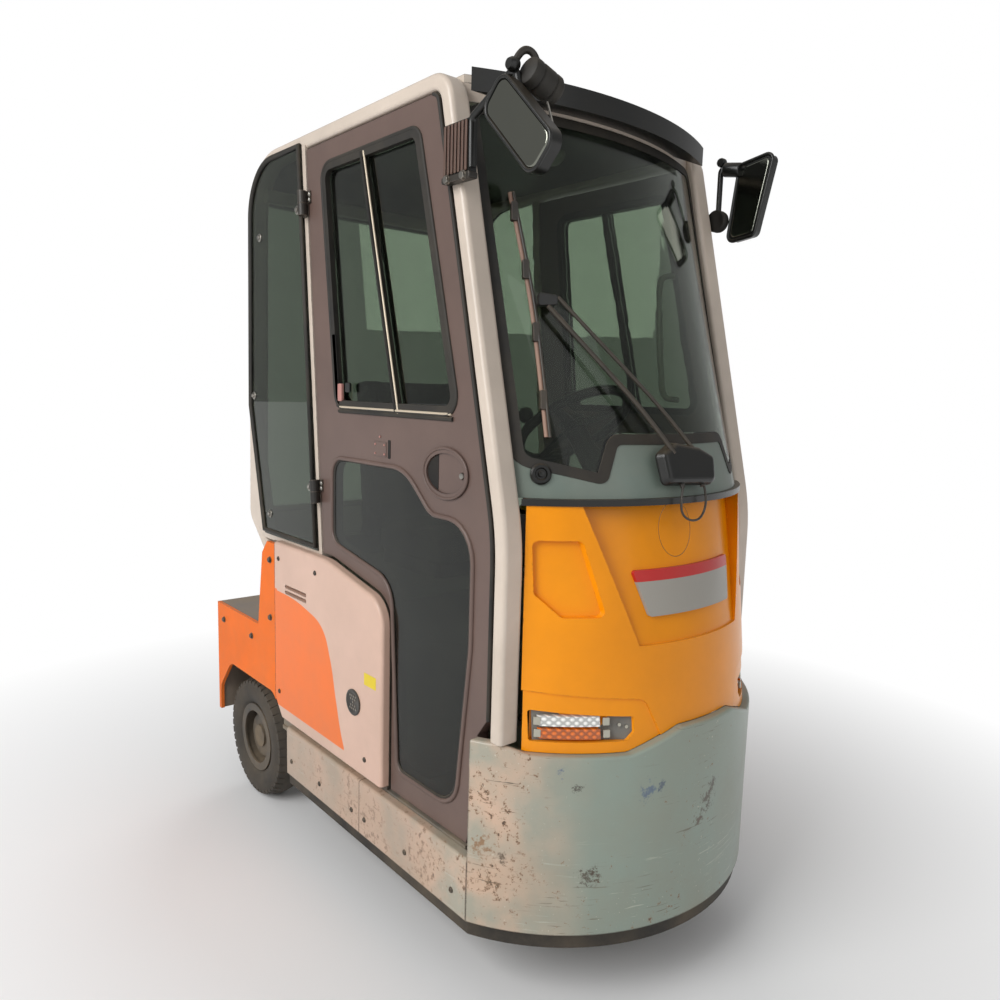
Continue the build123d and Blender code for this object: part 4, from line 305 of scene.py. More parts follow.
def red_band(tree, base):
    """Paints the plate silver grey, and red above the band's level."""
    above = join(split(own_place(tree))["Z"], BAND_LEVEL, "GREATER_THAN")
    return blend(above, srgb(162, 158, 150), srgb(196, 30, 30))


orange = surface(
    "apron_orange", (246, 150, 0), 0.3, coat=0.12, specular=0.3, vary=0.10, worn=(120, 78, 30), wear_amount=0.72,
    low_dust=0.18, high_dust=0.02, dust_colour=(160, 120, 60), grain_depth=0.03,
)
fender_orange = surface(
    "fender_orange", FENDER_ORANGE, 0.5, specular=0.25, vary=0.09, worn=(110, 78, 52), wear_amount=1.0,
    low_dust=0.3, high_dust=0.10, grain_depth=0.05,
)
plate_finish = surface("front_plate", (150, 146, 138), 0.35, coat=0.3, high_dust=0.04, paint_colour=red_band)
finish(orange, "front_apron")
finish(fender_orange, "rear_fenders")
finish(plate_finish, "front_plate")


def apron_point(x, height, proud=0.0):
    """Point and outward direction on the apron's bowed face, in millimetres, proud of it."""
    share = (height - 640.0) / 559.7
    front, radius = 14.0 + 71.0 * share, 539.0 + 46.0 * share
    reach = math.sqrt(radius**2 - x**2)
    normal = Vector((x / radius, -reach / radius, 0.126)).normalized()
    return metres(x, front + radius - reach, height) + normal * proud / 1000, normal


# Front bumper and sills
# Thick bent plates in light grey paint, scuffed along their length by years of knocks:
# long dark rubs, chips down to rust at the corners, and a few blue and dark marks.
BUMPER_BOW = 556.0
# Single marks on the bumper: place across, height and radius in millimetres, and colour
MARKS = (
    (-365, 609, 13, (48, 82, 128)),
    (-182, 554, 26, (72, 102, 132)),
    (-150, 560, 18, (60, 84, 108)),
    (-334, 574, 15, (46, 44, 42)),
    (-308, 357, 27, (60, 48, 36)),
    (-290, 362, 18, (66, 52, 40)),
    (-478, 411, 34, (138, 98, 58)),
    (-451, 388, 18, (70, 54, 40)),
    (-5, 485, 34, (70, 58, 48)),
    (-30, 440, 22, (84, 68, 54)),
    (20, 520, 20, (66, 58, 50)),
)


def battered(tree, base):
    """Scuffs, chips, rust and stains, thickest at the bumper's corners and in its middle, and painted warm light on
    the corners.
    """
    place = own_place(tree)
    parts = split(place)
    across = node(tree, "Math", {0: parts["X"]}, operation="ABSOLUTE").outputs[0]
    corner = ramp(across, 0.30, 0.46)
    middle = ramp(across, 0.17, 0.0, 0.0, 0.55)
    lowest = ramp(parts["Z"], 0.42, 0.22, 0.0, 0.55)
    zone = join(join(corner, middle, "MAXIMUM"), lowest, "MAXIMUM")
    fine = noise(place, 64.0, 9.0, 0.76)
    broad = noise(place, 9.0, 4.0)
    flat = node(tree, "Mapping", {"Vector": place, "Scale": (1.0, 1.0, 22.0)}).outputs[0]
    line = noise(flat, 9.0, 6.0, 0.6)
    # Painted warm light over the corners that turn to the side, then scratches, chips and rust
    painted_corner_light = join(corner, ramp(broad, 0.36, 0.62, 0.25, 0.8), "MULTIPLY")
    base = blend(painted_corner_light, base, srgb(220, 182, 156))
    scratch = join(ramp(line, 0.635, 0.665), ramp(broad, 0.44, 0.56), "MULTIPLY")
    base = blend(join(scratch, ramp(zone, 0.0, 0.5, 0.15, 1.0), "MULTIPLY"), base, srgb(92, 84, 70))
    graze = join(ramp(line, 0.365, 0.345), ramp(broad, 0.54, 0.44, 0.0, 0.6), "MULTIPLY")
    graze = join(graze, ramp(parts["Z"], 0.46, 0.36), "MULTIPLY")
    base = blend(graze, base, srgb(198, 202, 188))
    added = join(join(zone, 0.085, "MULTIPLY"), ramp(broad, 0.35, 0.65, -0.05, 0.035), "ADD")
    shifted = join(fine, added, "ADD")
    chip_colour = blend(ramp(shifted, 0.685, 0.74), srgb(136, 100, 70), srgb(60, 48, 40))
    base = blend(ramp(shifted, 0.655, 0.675), base, chip_colour)
    # Small bright flecks where the paint has come off in flakes
    flakes = noise(place, 150.0, 3.0)
    flake = join(ramp(flakes, 0.70, 0.73), ramp(zone, 0.1, 0.5, 0.1, 0.8), "MULTIPLY")
    base = blend(flake, base, srgb(212, 208, 190))
    # The sills, towards the rear and low down, turn warmer in colour than the front
    rearward = ramp(parts["Y"], -0.62, -0.40, 0.0, 0.55)
    lower = join(rearward, ramp(parts["Z"], 0.50, 0.38), "MULTIPLY")
    base = blend(lower, base, srgb(176, 150, 132))
    for x, height, size, colour in MARKS:
        radius = size / 1000
        spot = metres(x, BUMPER_BOW - math.sqrt(BUMPER_BOW**2 - x**2), height)
        away = node(tree, "VectorMath", {0: place, 1: spot}, operation="DISTANCE").outputs["Value"]
        reach = join(ramp(fine, 0.40, 0.62, -0.1, 1.5), radius, "MULTIPLY")
        base = blend(ramp(join(reach, away, "SUBTRACT"), 0.0, radius * 0.5, 0.0, 0.85), base, srgb(*colour))
    return base


bumper_paint = surface(
    "bumper_paint", (140, 154, 143), 0.36, coat=0.2, vary=0.05, worn=(58, 50, 44), wear_amount=1.25,
    wear_radius=0.006, low_dust=0.35, high_dust=0.1, paint_colour=battered,
)
finish(bumper_paint, "front_bumper", "sills")

# Rubber skirt and seals
# Matt black rubber strips under the plates and around the glass, grey with dust.
rubber = surface(
    "black_rubber", (20, 20, 18), 0.62, vary=0.2, low_dust=0.3, high_dust=0.10, grain_scale=500.0, grain_depth=0.15
)
finish(rubber, "bumper_skirt", "windscreen_seal", "door_windows_right", "door_windows_left")


# Side panels
# Painted sheet covers over the battery bay: the front part light grey, the rear part
# orange behind a curved edge, with two cooling slots and rubbed edges.
def two_tone(tree, base):
    """Orange behind a curve through the panel, light grey ahead of it."""
    parts = split(own_place(tree))
    # The edge runs forward and down over the panel's height
    curve = node(tree, "FloatCurve", {"Value": ramp(parts["Z"], 0.43, 0.80)})
    points = curve.mapping.curves[0].points
    for at, value in ((0.10, 0.04), (0.35, 0.11), (0.65, 0.19), (0.86, 0.30), (0.95, 0.52)):
        points.new(at, value)
    points[0].location = (0.0, 0.0)
    points[-1].location = (1.0, 1.0)
    curve.mapping.update()
    behind = join(parts["Y"], ramp(curve.outputs[0], 0.0, 1.0, -0.077, 0.35), "SUBTRACT")
    below, above = join(0.806, parts["Z"], "SUBTRACT"), join(parts["Z"], 0.421, "SUBTRACT")
    mask = join(behind, join(below, above, "MINIMUM"), "MINIMUM")
    return blend(ramp(mask, 0.0, 0.002), base, srgb(*FENDER_ORANGE))


panel_paint = surface(
    "side_panel_paint", (212, 178, 160), 0.42, coat=0.15, vary=0.08, worn=(96, 82, 70), wear_amount=1.1,
    wear_radius=0.006, low_dust=0.25, high_dust=0.10, paint_colour=two_tone,
)
finish(panel_paint, "side_panels")

# Cowl and band under the windscreen
# The cowl is painted blue-grey, and the band over the apron is black moulding.
plastic = surface(
    "black_plastic", (14, 16, 15), 0.3, vary=0.15, low_dust=0.3, high_dust=0.02, grain_scale=800.0, grain_depth=0.10
)
finish(surface("cowl_paint", (106, 120, 112), 0.4, coat=0.15, high_dust=0.15), "cowl")
finish(plastic, "cowl_band", "roof_visor", "dashboard", "steering_column", "steering_wheel")

# Chassis, hood, deck and running gear
# Grey and black paint over welded plate and castings, thick with road dirt.
frame_paint = surface(
    "frame_paint", (104, 102, 96), 0.55, worn=(70, 58, 48), wear_amount=1.1, low_dust=0.9, high_dust=0.25
)
deck_paint = surface("deck_paint", (122, 112, 104), worn=(66, 54, 46), wear_amount=1.2, high_dust=0.3)
black_steel = surface("black_steel", (34, 33, 32), 0.42, metallic=0.2, worn=(120, 108, 96), low_dust=0.6)
casting = surface(
    "casting", (66, 64, 60), 0.6, metallic=0.3, low_dust=0.9, high_dust=0.4, grain_scale=160.0, grain_depth=0.3
)
rim_paint = surface("rim_paint", (52, 50, 46), worn=(60, 46, 36), wear_amount=1.2, high_dust=0.2)
bare_steel = surface("bare_steel", (150, 148, 142), 0.3, metallic=1.0, worn=(96, 70, 50), low_dust=0.4)
finish(frame_paint, "chassis", "seat_console")
finish(deck_paint, "rear_hood", "rear_deck")
finish(black_steel, "steer_fork", "tow_coupling", "seat_base")
finish(black_steel, "hinge_barrels", "door_hinges_right", "door_hinges_left")
finish(casting, "rear_axle")
finish(rim_paint, "front_rim", "rear_right_rim", "rear_left_rim")
finish(bare_steel, "coupling_pin")
finish(surface("battery_grey", (54, 55, 57), high_dust=0.3), "battery")
finish(plastic, "mirrors")

# Doors and handles
# Pressed doors in brown paint that has gone matt, rubbed bare around their edges.
door_paint = surface(
    "door_brown", (94, 75, 68), 0.46, coat=0.1, vary=0.16, worn=(64, 50, 46), wear_amount=1.15, wear_radius=0.006,
    low_dust=0.3, high_dust=0.10, dust_colour=(140, 118, 104), grain_scale=420.0, grain_depth=0.14,
)
finish(door_paint, "door_right", "door_left", "door_handle_right", "door_handle_left")


# Glass
# Green-tinted safety glass with a film of dust and streaks where it was wiped.
def glass(name, tint, film_amount, streaks):
    """Clear tinted glass; a broken film of dirt dulls part of it."""
    made, tree, shader = shaded(name)
    feed(shader, {"Base Color": srgb(*tint), "Roughness": 0.0, "IOR": 1.33, "Transmission Weight": 1.0})
    film = node(tree, "BsdfDiffuse", {"Color": srgb(176, 180, 160)})
    stretched = node(tree, "Mapping", {"Vector": own_place(tree), "Scale": (streaks, streaks, 3.0)})
    dirt = noise(stretched.outputs[0], 3.0, 8.0, 0.65)
    amount = ramp(dirt, 0.45, 0.85, film_amount * 0.35, film_amount * 3.0)
    mixed = node(tree, "MixShader", {0: amount, 1: shader.outputs[0], 2: film.outputs[0]})
    feed(tree.nodes["Material Output"], {"Surface": mixed.outputs[0]})
    return made


finish(glass("screen_glass", (136, 147, 134), 0.006, 2.0), "windscreen", "rear_window")
side_glass = glass("side_glass", (114, 124, 112), 0.006, 2.5)
finish(side_glass, "door_glass_right", "door_glass_left", "quarter_windows")


# Tyres
# Small black road tyres with a block tread, a raised rib on the sidewall and grey dust.
def tube_mesh(name, rings):
    """A closed skin through rings of points."""
    count, last = len(rings[0]), len(rings) - 1
    faces = [
        (row * count + i, row * count + (i + 1) % count, (row + 1) * count + (i + 1) % count, (row + 1) * count + i)
        for row in range(last)
        for i in range(count)
    ]
    faces.append(tuple(range(count - 1, -1, -1)))
    faces.append(tuple(last * count + i for i in range(count)))
    return mesh_object(name, [p for ring in rings for p in ring], faces, smooth=True)


def carry(made, finish_used, body):
    """Gives an added piece its finish and the body that it rides."""
    made.data.materials.append(finish_used)
    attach(made, body)
    return made


tyre_rubber = surface(
    "tyre_rubber", (50, 47, 43), 0.75, vary=0.2, high_dust=0.35, dust_colour=(112, 100, 84),
    grain_scale=260.0, grain_depth=0.3,
)
finish(tyre_rubber, "front_tyre", "rear_right_tyre", "rear_left_tyre")
TYRE_RADIUS = 0.2085
TREAD_BLOCKS = 44
TREAD_DEPTH = 0.0045
BLOCK_FACES = ((3, 2, 1, 0), (4, 5, 6, 7), (0, 1, 5, 4), (1, 2, 6, 5), (2, 3, 7, 6), (3, 0, 4, 7))
WHEELS = (("front_wheel", 0.0, -0.565), ("rear_right_wheel", -0.413, 0.611), ("rear_left_wheel", 0.413, 0.611))
for body, x, y in WHEELS:
    verts, faces = [], []
    for row, (inner, outer) in enumerate(((-0.050, -0.022), (-0.017, 0.017), (0.022, 0.050))):
        for block in range(TREAD_BLOCKS):
            start = (block + 0.5 * (row % 2)) * math.tau / TREAD_BLOCKS
            base = len(verts)
            for drop, margin in ((0.012, 0.0), (-TREAD_DEPTH, 0.0012)):
                for across, end in ((inner, 0), (outer, 0), (outer, 1), (inner, 1)):
                    turn = start + end * math.tau / TREAD_BLOCKS * 0.74
                    side = across + (margin if across == inner else -margin)
                    crown = TYRE_RADIUS - TREAD_DEPTH - 0.012 * (side / 0.05) ** 2 * 0.9 - drop
                    verts.append((x + side, y + crown * math.sin(turn), TYRE_RADIUS + crown * math.cos(turn)))
            faces += [tuple(base + i for i in face) for face in BLOCK_FACES]
    carry(mesh_object(body + "_tread", verts, faces), tyre_rubber, body)


# Fasteners
# Bolt heads, screws and caps that hold the glass, the hinges, the panels and the plates.
def lathe(name, profile, place, axis, finish_used, body="body", steps=20):
    """Turns a profile of (radius, height) pairs in millimetres about an axis through a place in metres."""
    axis = Vector(axis).normalized()
    side_way = axis.orthogonal().normalized()
    cross = axis.cross(side_way)
    turns = [math.tau * i / steps for i in range(steps)]
    made = tube_mesh(name, [
        [
            place + axis * height / 1000 + (side_way * math.cos(a) + cross * math.sin(a)) * radius / 1000
            for a in turns
        ]
        for radius, height in profile
    ])
    edges = made.modifiers.new("edges", "EDGE_SPLIT")
    edges.split_angle = math.radians(40)
    return carry(made, finish_used, body)


SIDES = (("right", -1), ("left", 1))
BUTTON_HEAD = ((0.1, -2), (7.5, -2), (7.5, 0.8), (6.4, 2.6), (4.2, 3.8), (3.2, 4.0), (2.8, 2.4), (0.1, 2.2))
CAP_HEAD = ((0.1, -2), (13.0, -2), (13.0, 1.0), (11.5, 2.4), (7.0, 2.8), (6.6, 6.0), (5.4, 7.2), (0.1, 7.6))
HEX_HEAD = ((0.1, -2), (11.0, -2), (11.0, 1.2), (8.2, 1.4), (8.2, 5.6), (7.2, 6.6), (0.1, 6.8))
# Each kind: name, place across, head, finish, roundness, and the depths and heights
HEADS = (
    (
        "quarter_bolt", 472.5, CAP_HEAD, bare_steel, 20,
        ((1190, 1952), (1452, 1905), (1508, 1410), (1118, 1150), (1395, 1032)),
    ),
    ("panel_screw", 495.2, BUTTON_HEAD, black_steel, 20, ((761, 437), (1288, 905), (1288, 470), (1045, 905))),
    ("fender_screw", 495.2, HEX_HEAD, black_steel, 20, ((1350, 890), (1350, 700), (1500, 600), (1740, 600))),
    (
        "sill_bolt", 495.2, BUTTON_HEAD, black_steel, 14,
        ((360, 262), (560, 262), (760, 262), (830, 262), (1020, 262), (1205, 262)),
    ),
)
for side, sign in SIDES:
    outward = (sign, 0, 0)
    for label, across, head, finish_used, steps, places in HEADS:
        for index, (depth, height) in enumerate(places):
            place = metres(sign * across, depth, height)
            lathe(f"{label}_{side}_{index}", head, place, outward, finish_used, steps=steps)
    # Round vent of the charging socket low on the panel, a disc with a grille of dots
    lathe(
        f"panel_vent_{side}", ((0.1, 0), (37, 0), (37, 2.4), (33, 3.6), (29, 2.6), (26, 1.4), (0.1, 1.4)),
        metres(sign * 495.2, 821, 583), outward, plastic, steps=40,
    )
    for row in (0, 1, 2, -1, -2):
        for across in ((0,), (-11, 0, 11), (-15, -5, 5, 15))[abs(row)]:
            lathe(
                f"panel_vent_hole_{side}_{row + 2}_{across + 15}", ((0.1, 0), (3.6, 0), (3.6, 0.8), (0.1, 0.8)),
                metres(sign * 496.6, 821 + across, 583 + row * 9), outward, bare_steel, steps=8,
            )
    # Hinge plates are held by two bolts each
    for leaf, body, places in (
        ("door", side + "_door", ((1120, 1985), (1120, 1970), (1051, 1168), (1051, 1153))),
        ("post", "body", ((1148, 1945), (1148, 1932), (1080, 1128), (1080, 1115))),
    ):
        for index, (depth, height) in enumerate(places):
            place = metres(sign * 471.4, depth, height)
            lathe(f"hinge_bolt_{leaf}_{side}_{index}", BUTTON_HEAD, place, outward, bare_steel, body, steps=14)


# Wiper
# A moulded black hump carries the motor; two parallel steel arms hold one long blade,
# and a thin washer hose loops from the hump down over the top of the apron.
def rod(name, points, radius, finish_used, body="body", smooth=False, closed=False):
    """A round rod or hose through points in metres; its thickness is in the radius of its points."""
    curve = bpy.data.curves.new(name, "CURVE")
    curve.dimensions = "3D"
    curve.bevel_depth = 1.0
    curve.bevel_resolution = 3
    curve.use_fill_caps = True
    spline = curve.splines.new("NURBS" if smooth else "POLY")
    spline.points.add(len(points) - 1)
    for knot, point in zip(spline.points, points):
        knot.co = (*point, 1.0)
        knot.radius = radius
    spline.use_cyclic_u = closed
    if smooth:
        spline.order_u = 3
        spline.use_endpoint_u = True
        spline.resolution_u = 8
    made = bpy.data.objects.new(name, curve)
    bpy.context.collection.objects.link(made)
    return carry(made, finish_used, body)


def facing(origin, outward, upward=(0, 0, 1)):
    """Frame at an origin whose third axis is outward and whose second is upward."""
    third = Vector(outward).normalized()
    first = Vector(upward).cross(third).normalized()
    return Matrix.Translation(origin) @ Matrix((first, third.cross(first), third)).transposed().to_4x4()


def slab(name, outline, place, thickness, finish_used, body="body", bevel=1.0, taper=1.0, segments=2):
    """A plate with an outline in millimetres, raised along its frame's third axis and rounded at its edges."""
    middle_x, middle_y = (sum(c) / len(outline) for c in zip(*outline))
    back = [place @ Vector((x / 1000, y / 1000, 0)) for x, y in outline]
    front = [
        place @ (Vector((middle_x + (x - middle_x) * taper, middle_y + (y - middle_y) * taper, thickness)) / 1000)
        for x, y in outline
    ]
    count = len(outline)
    faces = [tuple(range(count - 1, -1, -1)), tuple(range(count, 2 * count))]
    faces += [(i, (i + 1) % count, (i + 1) % count + count, i + count) for i in range(count)]
    made = mesh_object(name, back + front, faces)
    edges = made.modifiers.new("edges", "BEVEL")
    edges.width = bevel / 1000
    edges.segments = segments
    edges.limit_method = "ANGLE"
    edges.angle_limit = math.radians(35)
    return carry(made, finish_used, body)


def rounded_outline(corners, radius, steps=6):
    """Rounds the corners of an outline in millimetres; radius is one number or one for each corner."""
    made = []
    for i, corner in enumerate(corners):
        size = radius[i] if isinstance(radius, list) else radius
        here = Vector(corner)
        back = (Vector(corners[i - 1]) - here).normalized()
        ahead = (Vector(corners[(i + 1) % len(corners)]) - here).normalized()
        half = back.angle(ahead) / 2
        length = size / math.tan(half)
        middle = here + (back + ahead).normalized() * (size / math.sin(half))
        first, last = here + back * length - middle, here + ahead * length - middle
        sweep = first.angle_signed(last)
        for step in range(steps + 1):
            turn = -sweep * step / steps
            made.append((
                middle.x + first.x * math.cos(turn) - first.y * math.sin(turn),
                middle.y + first.x * math.sin(turn) + first.y * math.cos(turn),
            ))
    return made


def box(half_x, half_y, radius):
    """Outline of a rounded rectangle, in millimetres."""
    return rounded_outline([(-half_x, -half_y), (half_x, -half_y), (half_x, half_y), (-half_x, half_y)], radius)


def screen_point(x, height, ahead=0.0):
    """Point on the windscreen's bowed face at a place across and a height, in millimetres, moved ahead of it."""
    radius = 560.0 + 440.0 * (height - 1215.0) / 883.0
    hoop = 250.0 + 0.23786 * (height - 1129.0)
    sagitta = radius - math.sqrt(radius**2 - 409.7**2)
    return metres(x, hoop - sagitta + radius - math.sqrt(radius**2 - x**2) - ahead, height)


wiper_metal = surface("wiper_arm", (26, 26, 26), 0.4, worn=(120, 100, 90), high_dust=0.2)
blade_rubber = surface(
    "wiper_blade", (150, 118, 104), 0.6, vary=0.3, low_dust=0.3, high_dust=0.3, grain_scale=120.0, grain_depth=0.5,
)
slab(
    "wiper_housing", rounded_outline([(-84, -46), (84, -50), (92, 18), (40, 44), (-46, 58), (-92, 30)], 16),
    facing(metres(-36, 100, 1285), (-0.12, -1, 0.28)), 30, plastic, bevel=9, taper=0.86, segments=4,
)
for name, x, height in (("left", -88, 1318), ("right", -18, 1322)):
    lathe(
        f"wiper_pivot_{name}", ((0.1, 0), (12, 0), (13, 4), (12, 15), (8, 20), (0.1, 21)),
        screen_point(x, height, 34), (-0.15, -1, 0.3), wiper_metal,
    )
    lathe(
        f"wiper_hose_fitting_{name}", ((0.1, 0), (8, 0), (8, 14), (5, 16), (5, 26), (0.1, 27)),
        screen_point(x + 22, 1262, 32), (0, -0.5, -1), wiper_metal,
    )
for name, radius, path in (
    ("left", 0.0055, ((-88, 1318, 56), (-141, 1400, 62), (-239, 1530, 52), (-318, 1640, 42))),
    ("right", 0.0045, ((-18, 1322, 56), (-84, 1404, 62), (-196, 1535, 54), (-296, 1660, 46))),
):
    rod(f"wiper_arm_{name}", [screen_point(*place) for place in path], radius, wiper_metal, smooth=True)
slab(
    "wiper_head", rounded_outline([(-22, -14), (24, -10), (26, 12), (-20, 16)], 6),
    facing(screen_point(-316, 1650, 30), (-0.4, -1, 0.2)), 18, plastic, bevel=2,
)
BLADE = ((-345, 1895), (-338, 1770), (-333, 1650), (-337, 1500), (-345, 1350))
for name, ahead, radius, finish_used in (
    ("wiper_blade", 12, 0.0060, blade_rubber), ("wiper_blade_spine", 23, 0.0038, wiper_metal),
):
    rod(name, [screen_point(x, z, ahead) for x, z in BLADE], radius, finish_used, smooth=True)
for index, (x, z) in enumerate(((-343, 1850), (-336, 1720), (-334, 1580), (-341, 1430))):
    place = facing(screen_point(x, z, 10), (-0.5, -1, 0.2))
    slab(f"wiper_blade_clip_{index}", box(8, 22, 4), place, 15, wiper_metal, bevel=2)
HOSE_DIAMETER = 0.0056
HOSE_EXIT = screen_point(-60, 1262, 40)
over_apron = ((-74, 1215, 24), (-70, 1180, 16), (-45, 1160, 14), (-8, 1158, 14), (14, 1180, 16), (12, 1215, 24))
hose = rod(
    "washer_hose", [HOSE_EXIT, *(apron_point(*place)[0] for place in over_apron), screen_point(4, 1262, 40)],
    HOSE_DIAMETER / 2, wiper_metal, smooth=True,
)
# Washer nozzle: a round black boss on the cowl
lathe(
    "washer_boss", ((0.1, -4), (24, -4), (24, 6), (20, 10), (14, 10), (12, 6), (7, 6), (6, 14), (0.1, 15)),
    screen_point(-362, 1268, 2), (-0.62, -1, 0.2), plastic, steps=32,
)


def simple(name, colour, roughness, metallic=0.0, coat=0.0):
    """A plain even finish with a trace of dust."""
    return surface(
        name, colour, roughness, metallic=metallic, coat=coat, vary=0.06, low_dust=0.25, high_dust=0.06
    )


# Ring left on the apron by a parking disc, a thin dark line around a clear round film
rod(
    "apron_ring",
    [
        apron_point(-75 + 50 * math.cos(a), 1143 + 64 * math.sin(a), 0.3)[0]
        for a in (math.tau * i / 48 for i in range(48))
    ],
    0.0009, simple("apron_ring", (150, 92, 10), 0.4), closed=True,
)


# Headlamps
# Two clear ribbed bars in a grey niche on each side, white over amber, held at their
# ends by bare metal clips.
def lens(name, colour, glow):
    """A lens with a diamond pattern pressed into its back."""
    made, tree, shader = shaded(name)
    scaled = node(tree, "Mapping", {"Vector": own_place(tree), "Scale": (125.0, 0.0, 125.0)}).outputs[0]
    parts = split(scaled)
    first = join(join(parts["X"], parts["Z"], "ADD"), 1.0, "PINGPONG")
    second = join(join(parts["X"], parts["Z"], "SUBTRACT"), 1.0, "PINGPONG")
    cell = join(first, second, "MULTIPLY")
    feed(shader, {
        "Base Color": blend(ramp(cell, 0.05, 0.6), srgb(*colour, 0.35), srgb(*colour)),
        "Normal": node(tree, "Bump", {"Height": cell, "Strength": 0.6, "Distance": 0.003}).outputs[0],
        "Roughness": 0.12,
        "Coat Weight": 0.8,
        "Emission Color": srgb(*colour),
        "Emission Strength": glow,
    })
    return made


def fit_lenses(name, first, second, is_second):
    """Gives lamps two lenses, the second where is_second says so of a face's centre."""
    finish(first, name)
    nodes[name].data.materials.append(second)
    for polygon in nodes[name].data.polygons:
        polygon.material_index = int(is_second(polygon.center))


LENS_JOINT = 0.701
amber_lens = lens("lamp_amber", (232, 112, 6), 0.08)
white_lens = lens("lamp_white", (248, 248, 244), 0.12)
fit_lenses("headlamps", white_lens, amber_lens, lambda centre: centre.z <= LENS_JOINT)
lamp_back = surface(
    "lamp_niche", (112, 112, 108), 0.5, low_dust=0.4, grain_scale=150.0, grain_depth=0.2
)
clip_metal = surface("lamp_clip", (188, 186, 172), 0.35, metallic=0.6, low_dust=0.3)
NICHE = ((404, 741), (205, 723), (205, 687), (223, 669), (404, 669))
for side, sign in SIDES:
    back = tube_mesh(f"lamp_niche_{side}", [
        [
            apron_point(sign * (300 + (x - 300) * 0.98), 705 + (z - 705) * 0.95, proud)[0]
            for x, z in NICHE[::sign]
        ]
        for proud in (-12.5, -11.0)
    ])
    back.data.polygons.foreach_set("use_smooth", [False] * len(back.data.polygons))
    carry(back, lamp_back, "body")
    for index, (x, z) in enumerate(((393, 716), (393, 688), (267, 716), (267, 688))):
        spot, outward = apron_point(sign * x, z, -11.5)
        slab(f"lamp_clip_{side}_{index}", box(8, 9, 2), facing(spot, outward), 6, clip_metal, bevel=1.2)
    for index, (x, z) in enumerate(((238, 706), (222, 700))):
        spot, outward = apron_point(sign * x, z, -11.2)
        profile = ((0.1, 0), (4, 0), (4, 2), (0.1, 2.6))
        lathe(f"lamp_screw_{side}_{index}", profile, spot, outward, clip_metal, steps=12)

# Mirrors
# Two black moulded heads on bent tube arms: a ribbed brown clamp on the right pillar, a
# rubber boot at the left, a thin steel stay, and a curved glass in each head.
mirror_glass = simple("mirror_glass", (120, 122, 114), 0.05, metallic=1.0)
mirror_brown = surface(
    "mirror_clamp", (86, 60, 50), worn=(40, 30, 26), vary=0.25, low_dust=0.3, high_dust=0.15, grain_scale=260.0,
    grain_depth=0.3,
)
RIGHTWARD, LEFTWARD = (-1, 0, 0), (1, 0, 0)
lean = (0, math.sqrt(0.5), math.sqrt(0.5))
outside = facing(metres(-507.3, 185, 1965), RIGHTWARD, lean)
inside = facing(metres(-481.3, 185, 1965), LEFTWARD, lean)
slab("mirror_glass_right", box(39, 105, 22), outside, 3.4, mirror_glass, bevel=2.6, taper=0.96, segments=4)
lip = [outside @ Vector((x / 1000, y / 1000, 0.001)) for x, y in box(43, 109, 26)]
rod("mirror_lip_right", lip, 0.0042, plastic, closed=True)
slab("mirror_shell_right", box(42, 108, 26), inside, 16, plastic, bevel=9, taper=0.84, segments=5)
for index in range(3):
    place = inside @ Matrix.Translation((0, 0.05 - index * 0.05, 0.0155))
    slab(f"mirror_shell_rib_right_{index}", box(22, 3, 2.4), place, 3, plastic, bevel=1.2)
# Clamp around the pillar, ribbed, with a bolted flange under it
for index in range(7):
    place = facing(metres(-489.2, 368 + index * 12.4, 1965), RIGHTWARD)
    slab(f"mirror_clamp_rib_right_{index}", box(4, 52, 3), place, 4, mirror_brown, bevel=1.6)
slab("mirror_flange_right", box(50, 7, 4), facing(metres(-467.6, 405, 1904), RIGHTWARD), 24, black_steel, bevel=1.5)
for index, depth in enumerate((376, 434)):
    lathe(f"mirror_flange_bolt_right_{index}", HEX_HEAD, metres(-491.5, depth, 1904), RIGHTWARD, bare_steel)
# Arm joint, rubber boot and stay ahead of the roof visor
lathe(
    "mirror_knob_right", ((0.1, 0), (12, 0), (14, 4), (14, 15), (10, 22), (0.1, 23)), metres(-481, 222, 2086),
    RIGHTWARD, plastic,
)
LINK = ((-489, 222, 2086), (-478, 216, 2116), (-452, 207, 2118), (-438, 202, 2084), (-436, 201, 2066))
rod("mirror_link_right", [metres(*place) for place in LINK], 0.0075, black_steel, smooth=True)
lathe(
    "mirror_boot_right",
    (
        (0.1, 0), (22, 0), (27, 3), (30, 12), (30, 22), (27, 26), (30, 30), (30, 58), (27, 62), (30, 66), (30, 76),
        (25, 84), (0.1, 86),
    ),
    metres(-474, 200, 2076), (95, 0, -30), rubber, steps=32,
)
rod("mirror_stay_right", [metres(-428, 198, 2052), metres(-389, 196, 1958)], 0.0024, bare_steel)
lathe(
    "mirror_stay_end_right", ((0.1, 0), (6, 0), (7, 3), (7, 9), (0.1, 12)), metres(-391, 196, 1964), (39, 0, -94),
    plastic, steps=14,
)
# Left mirror: a ribbed boot on the hoop, an upright tube and a head that narrows downwards
lathe(
    "mirror_boot_left",
    (
        (27.4, 0), (31, 1), (28.4, 4), (31, 7), (28.4, 10), (31, 13), (28.4, 16), (31, 19), (28.4, 22), (30, 25),
        (24, 28.4), (0.1, 28.6),
    ),
    metres(467.4, 415, 1958), LEFTWARD, rubber, steps=32,
)
lathe(
    "mirror_knob_left", ((0.1, 0), (11, 0), (13, 4), (13, 16), (9, 22), (0.1, 23)), metres(470, 412, 2122),
    LEFTWARD, plastic,
)
lathe(
    "mirror_joint_left", ((0.1, 0), (17, 0), (20, 3), (20, 52), (17, 56), (0.1, 57)), metres(478, 398, 2100),
    (0, -1, -0.18), plastic, steps=28,
)
LEFT_HEAD = ((352, 2105), (241, 2124), (290, 1905), (379, 1893))
lip = [metres(481.0, depth, z) for depth, z in rounded_outline(LEFT_HEAD, 18)]
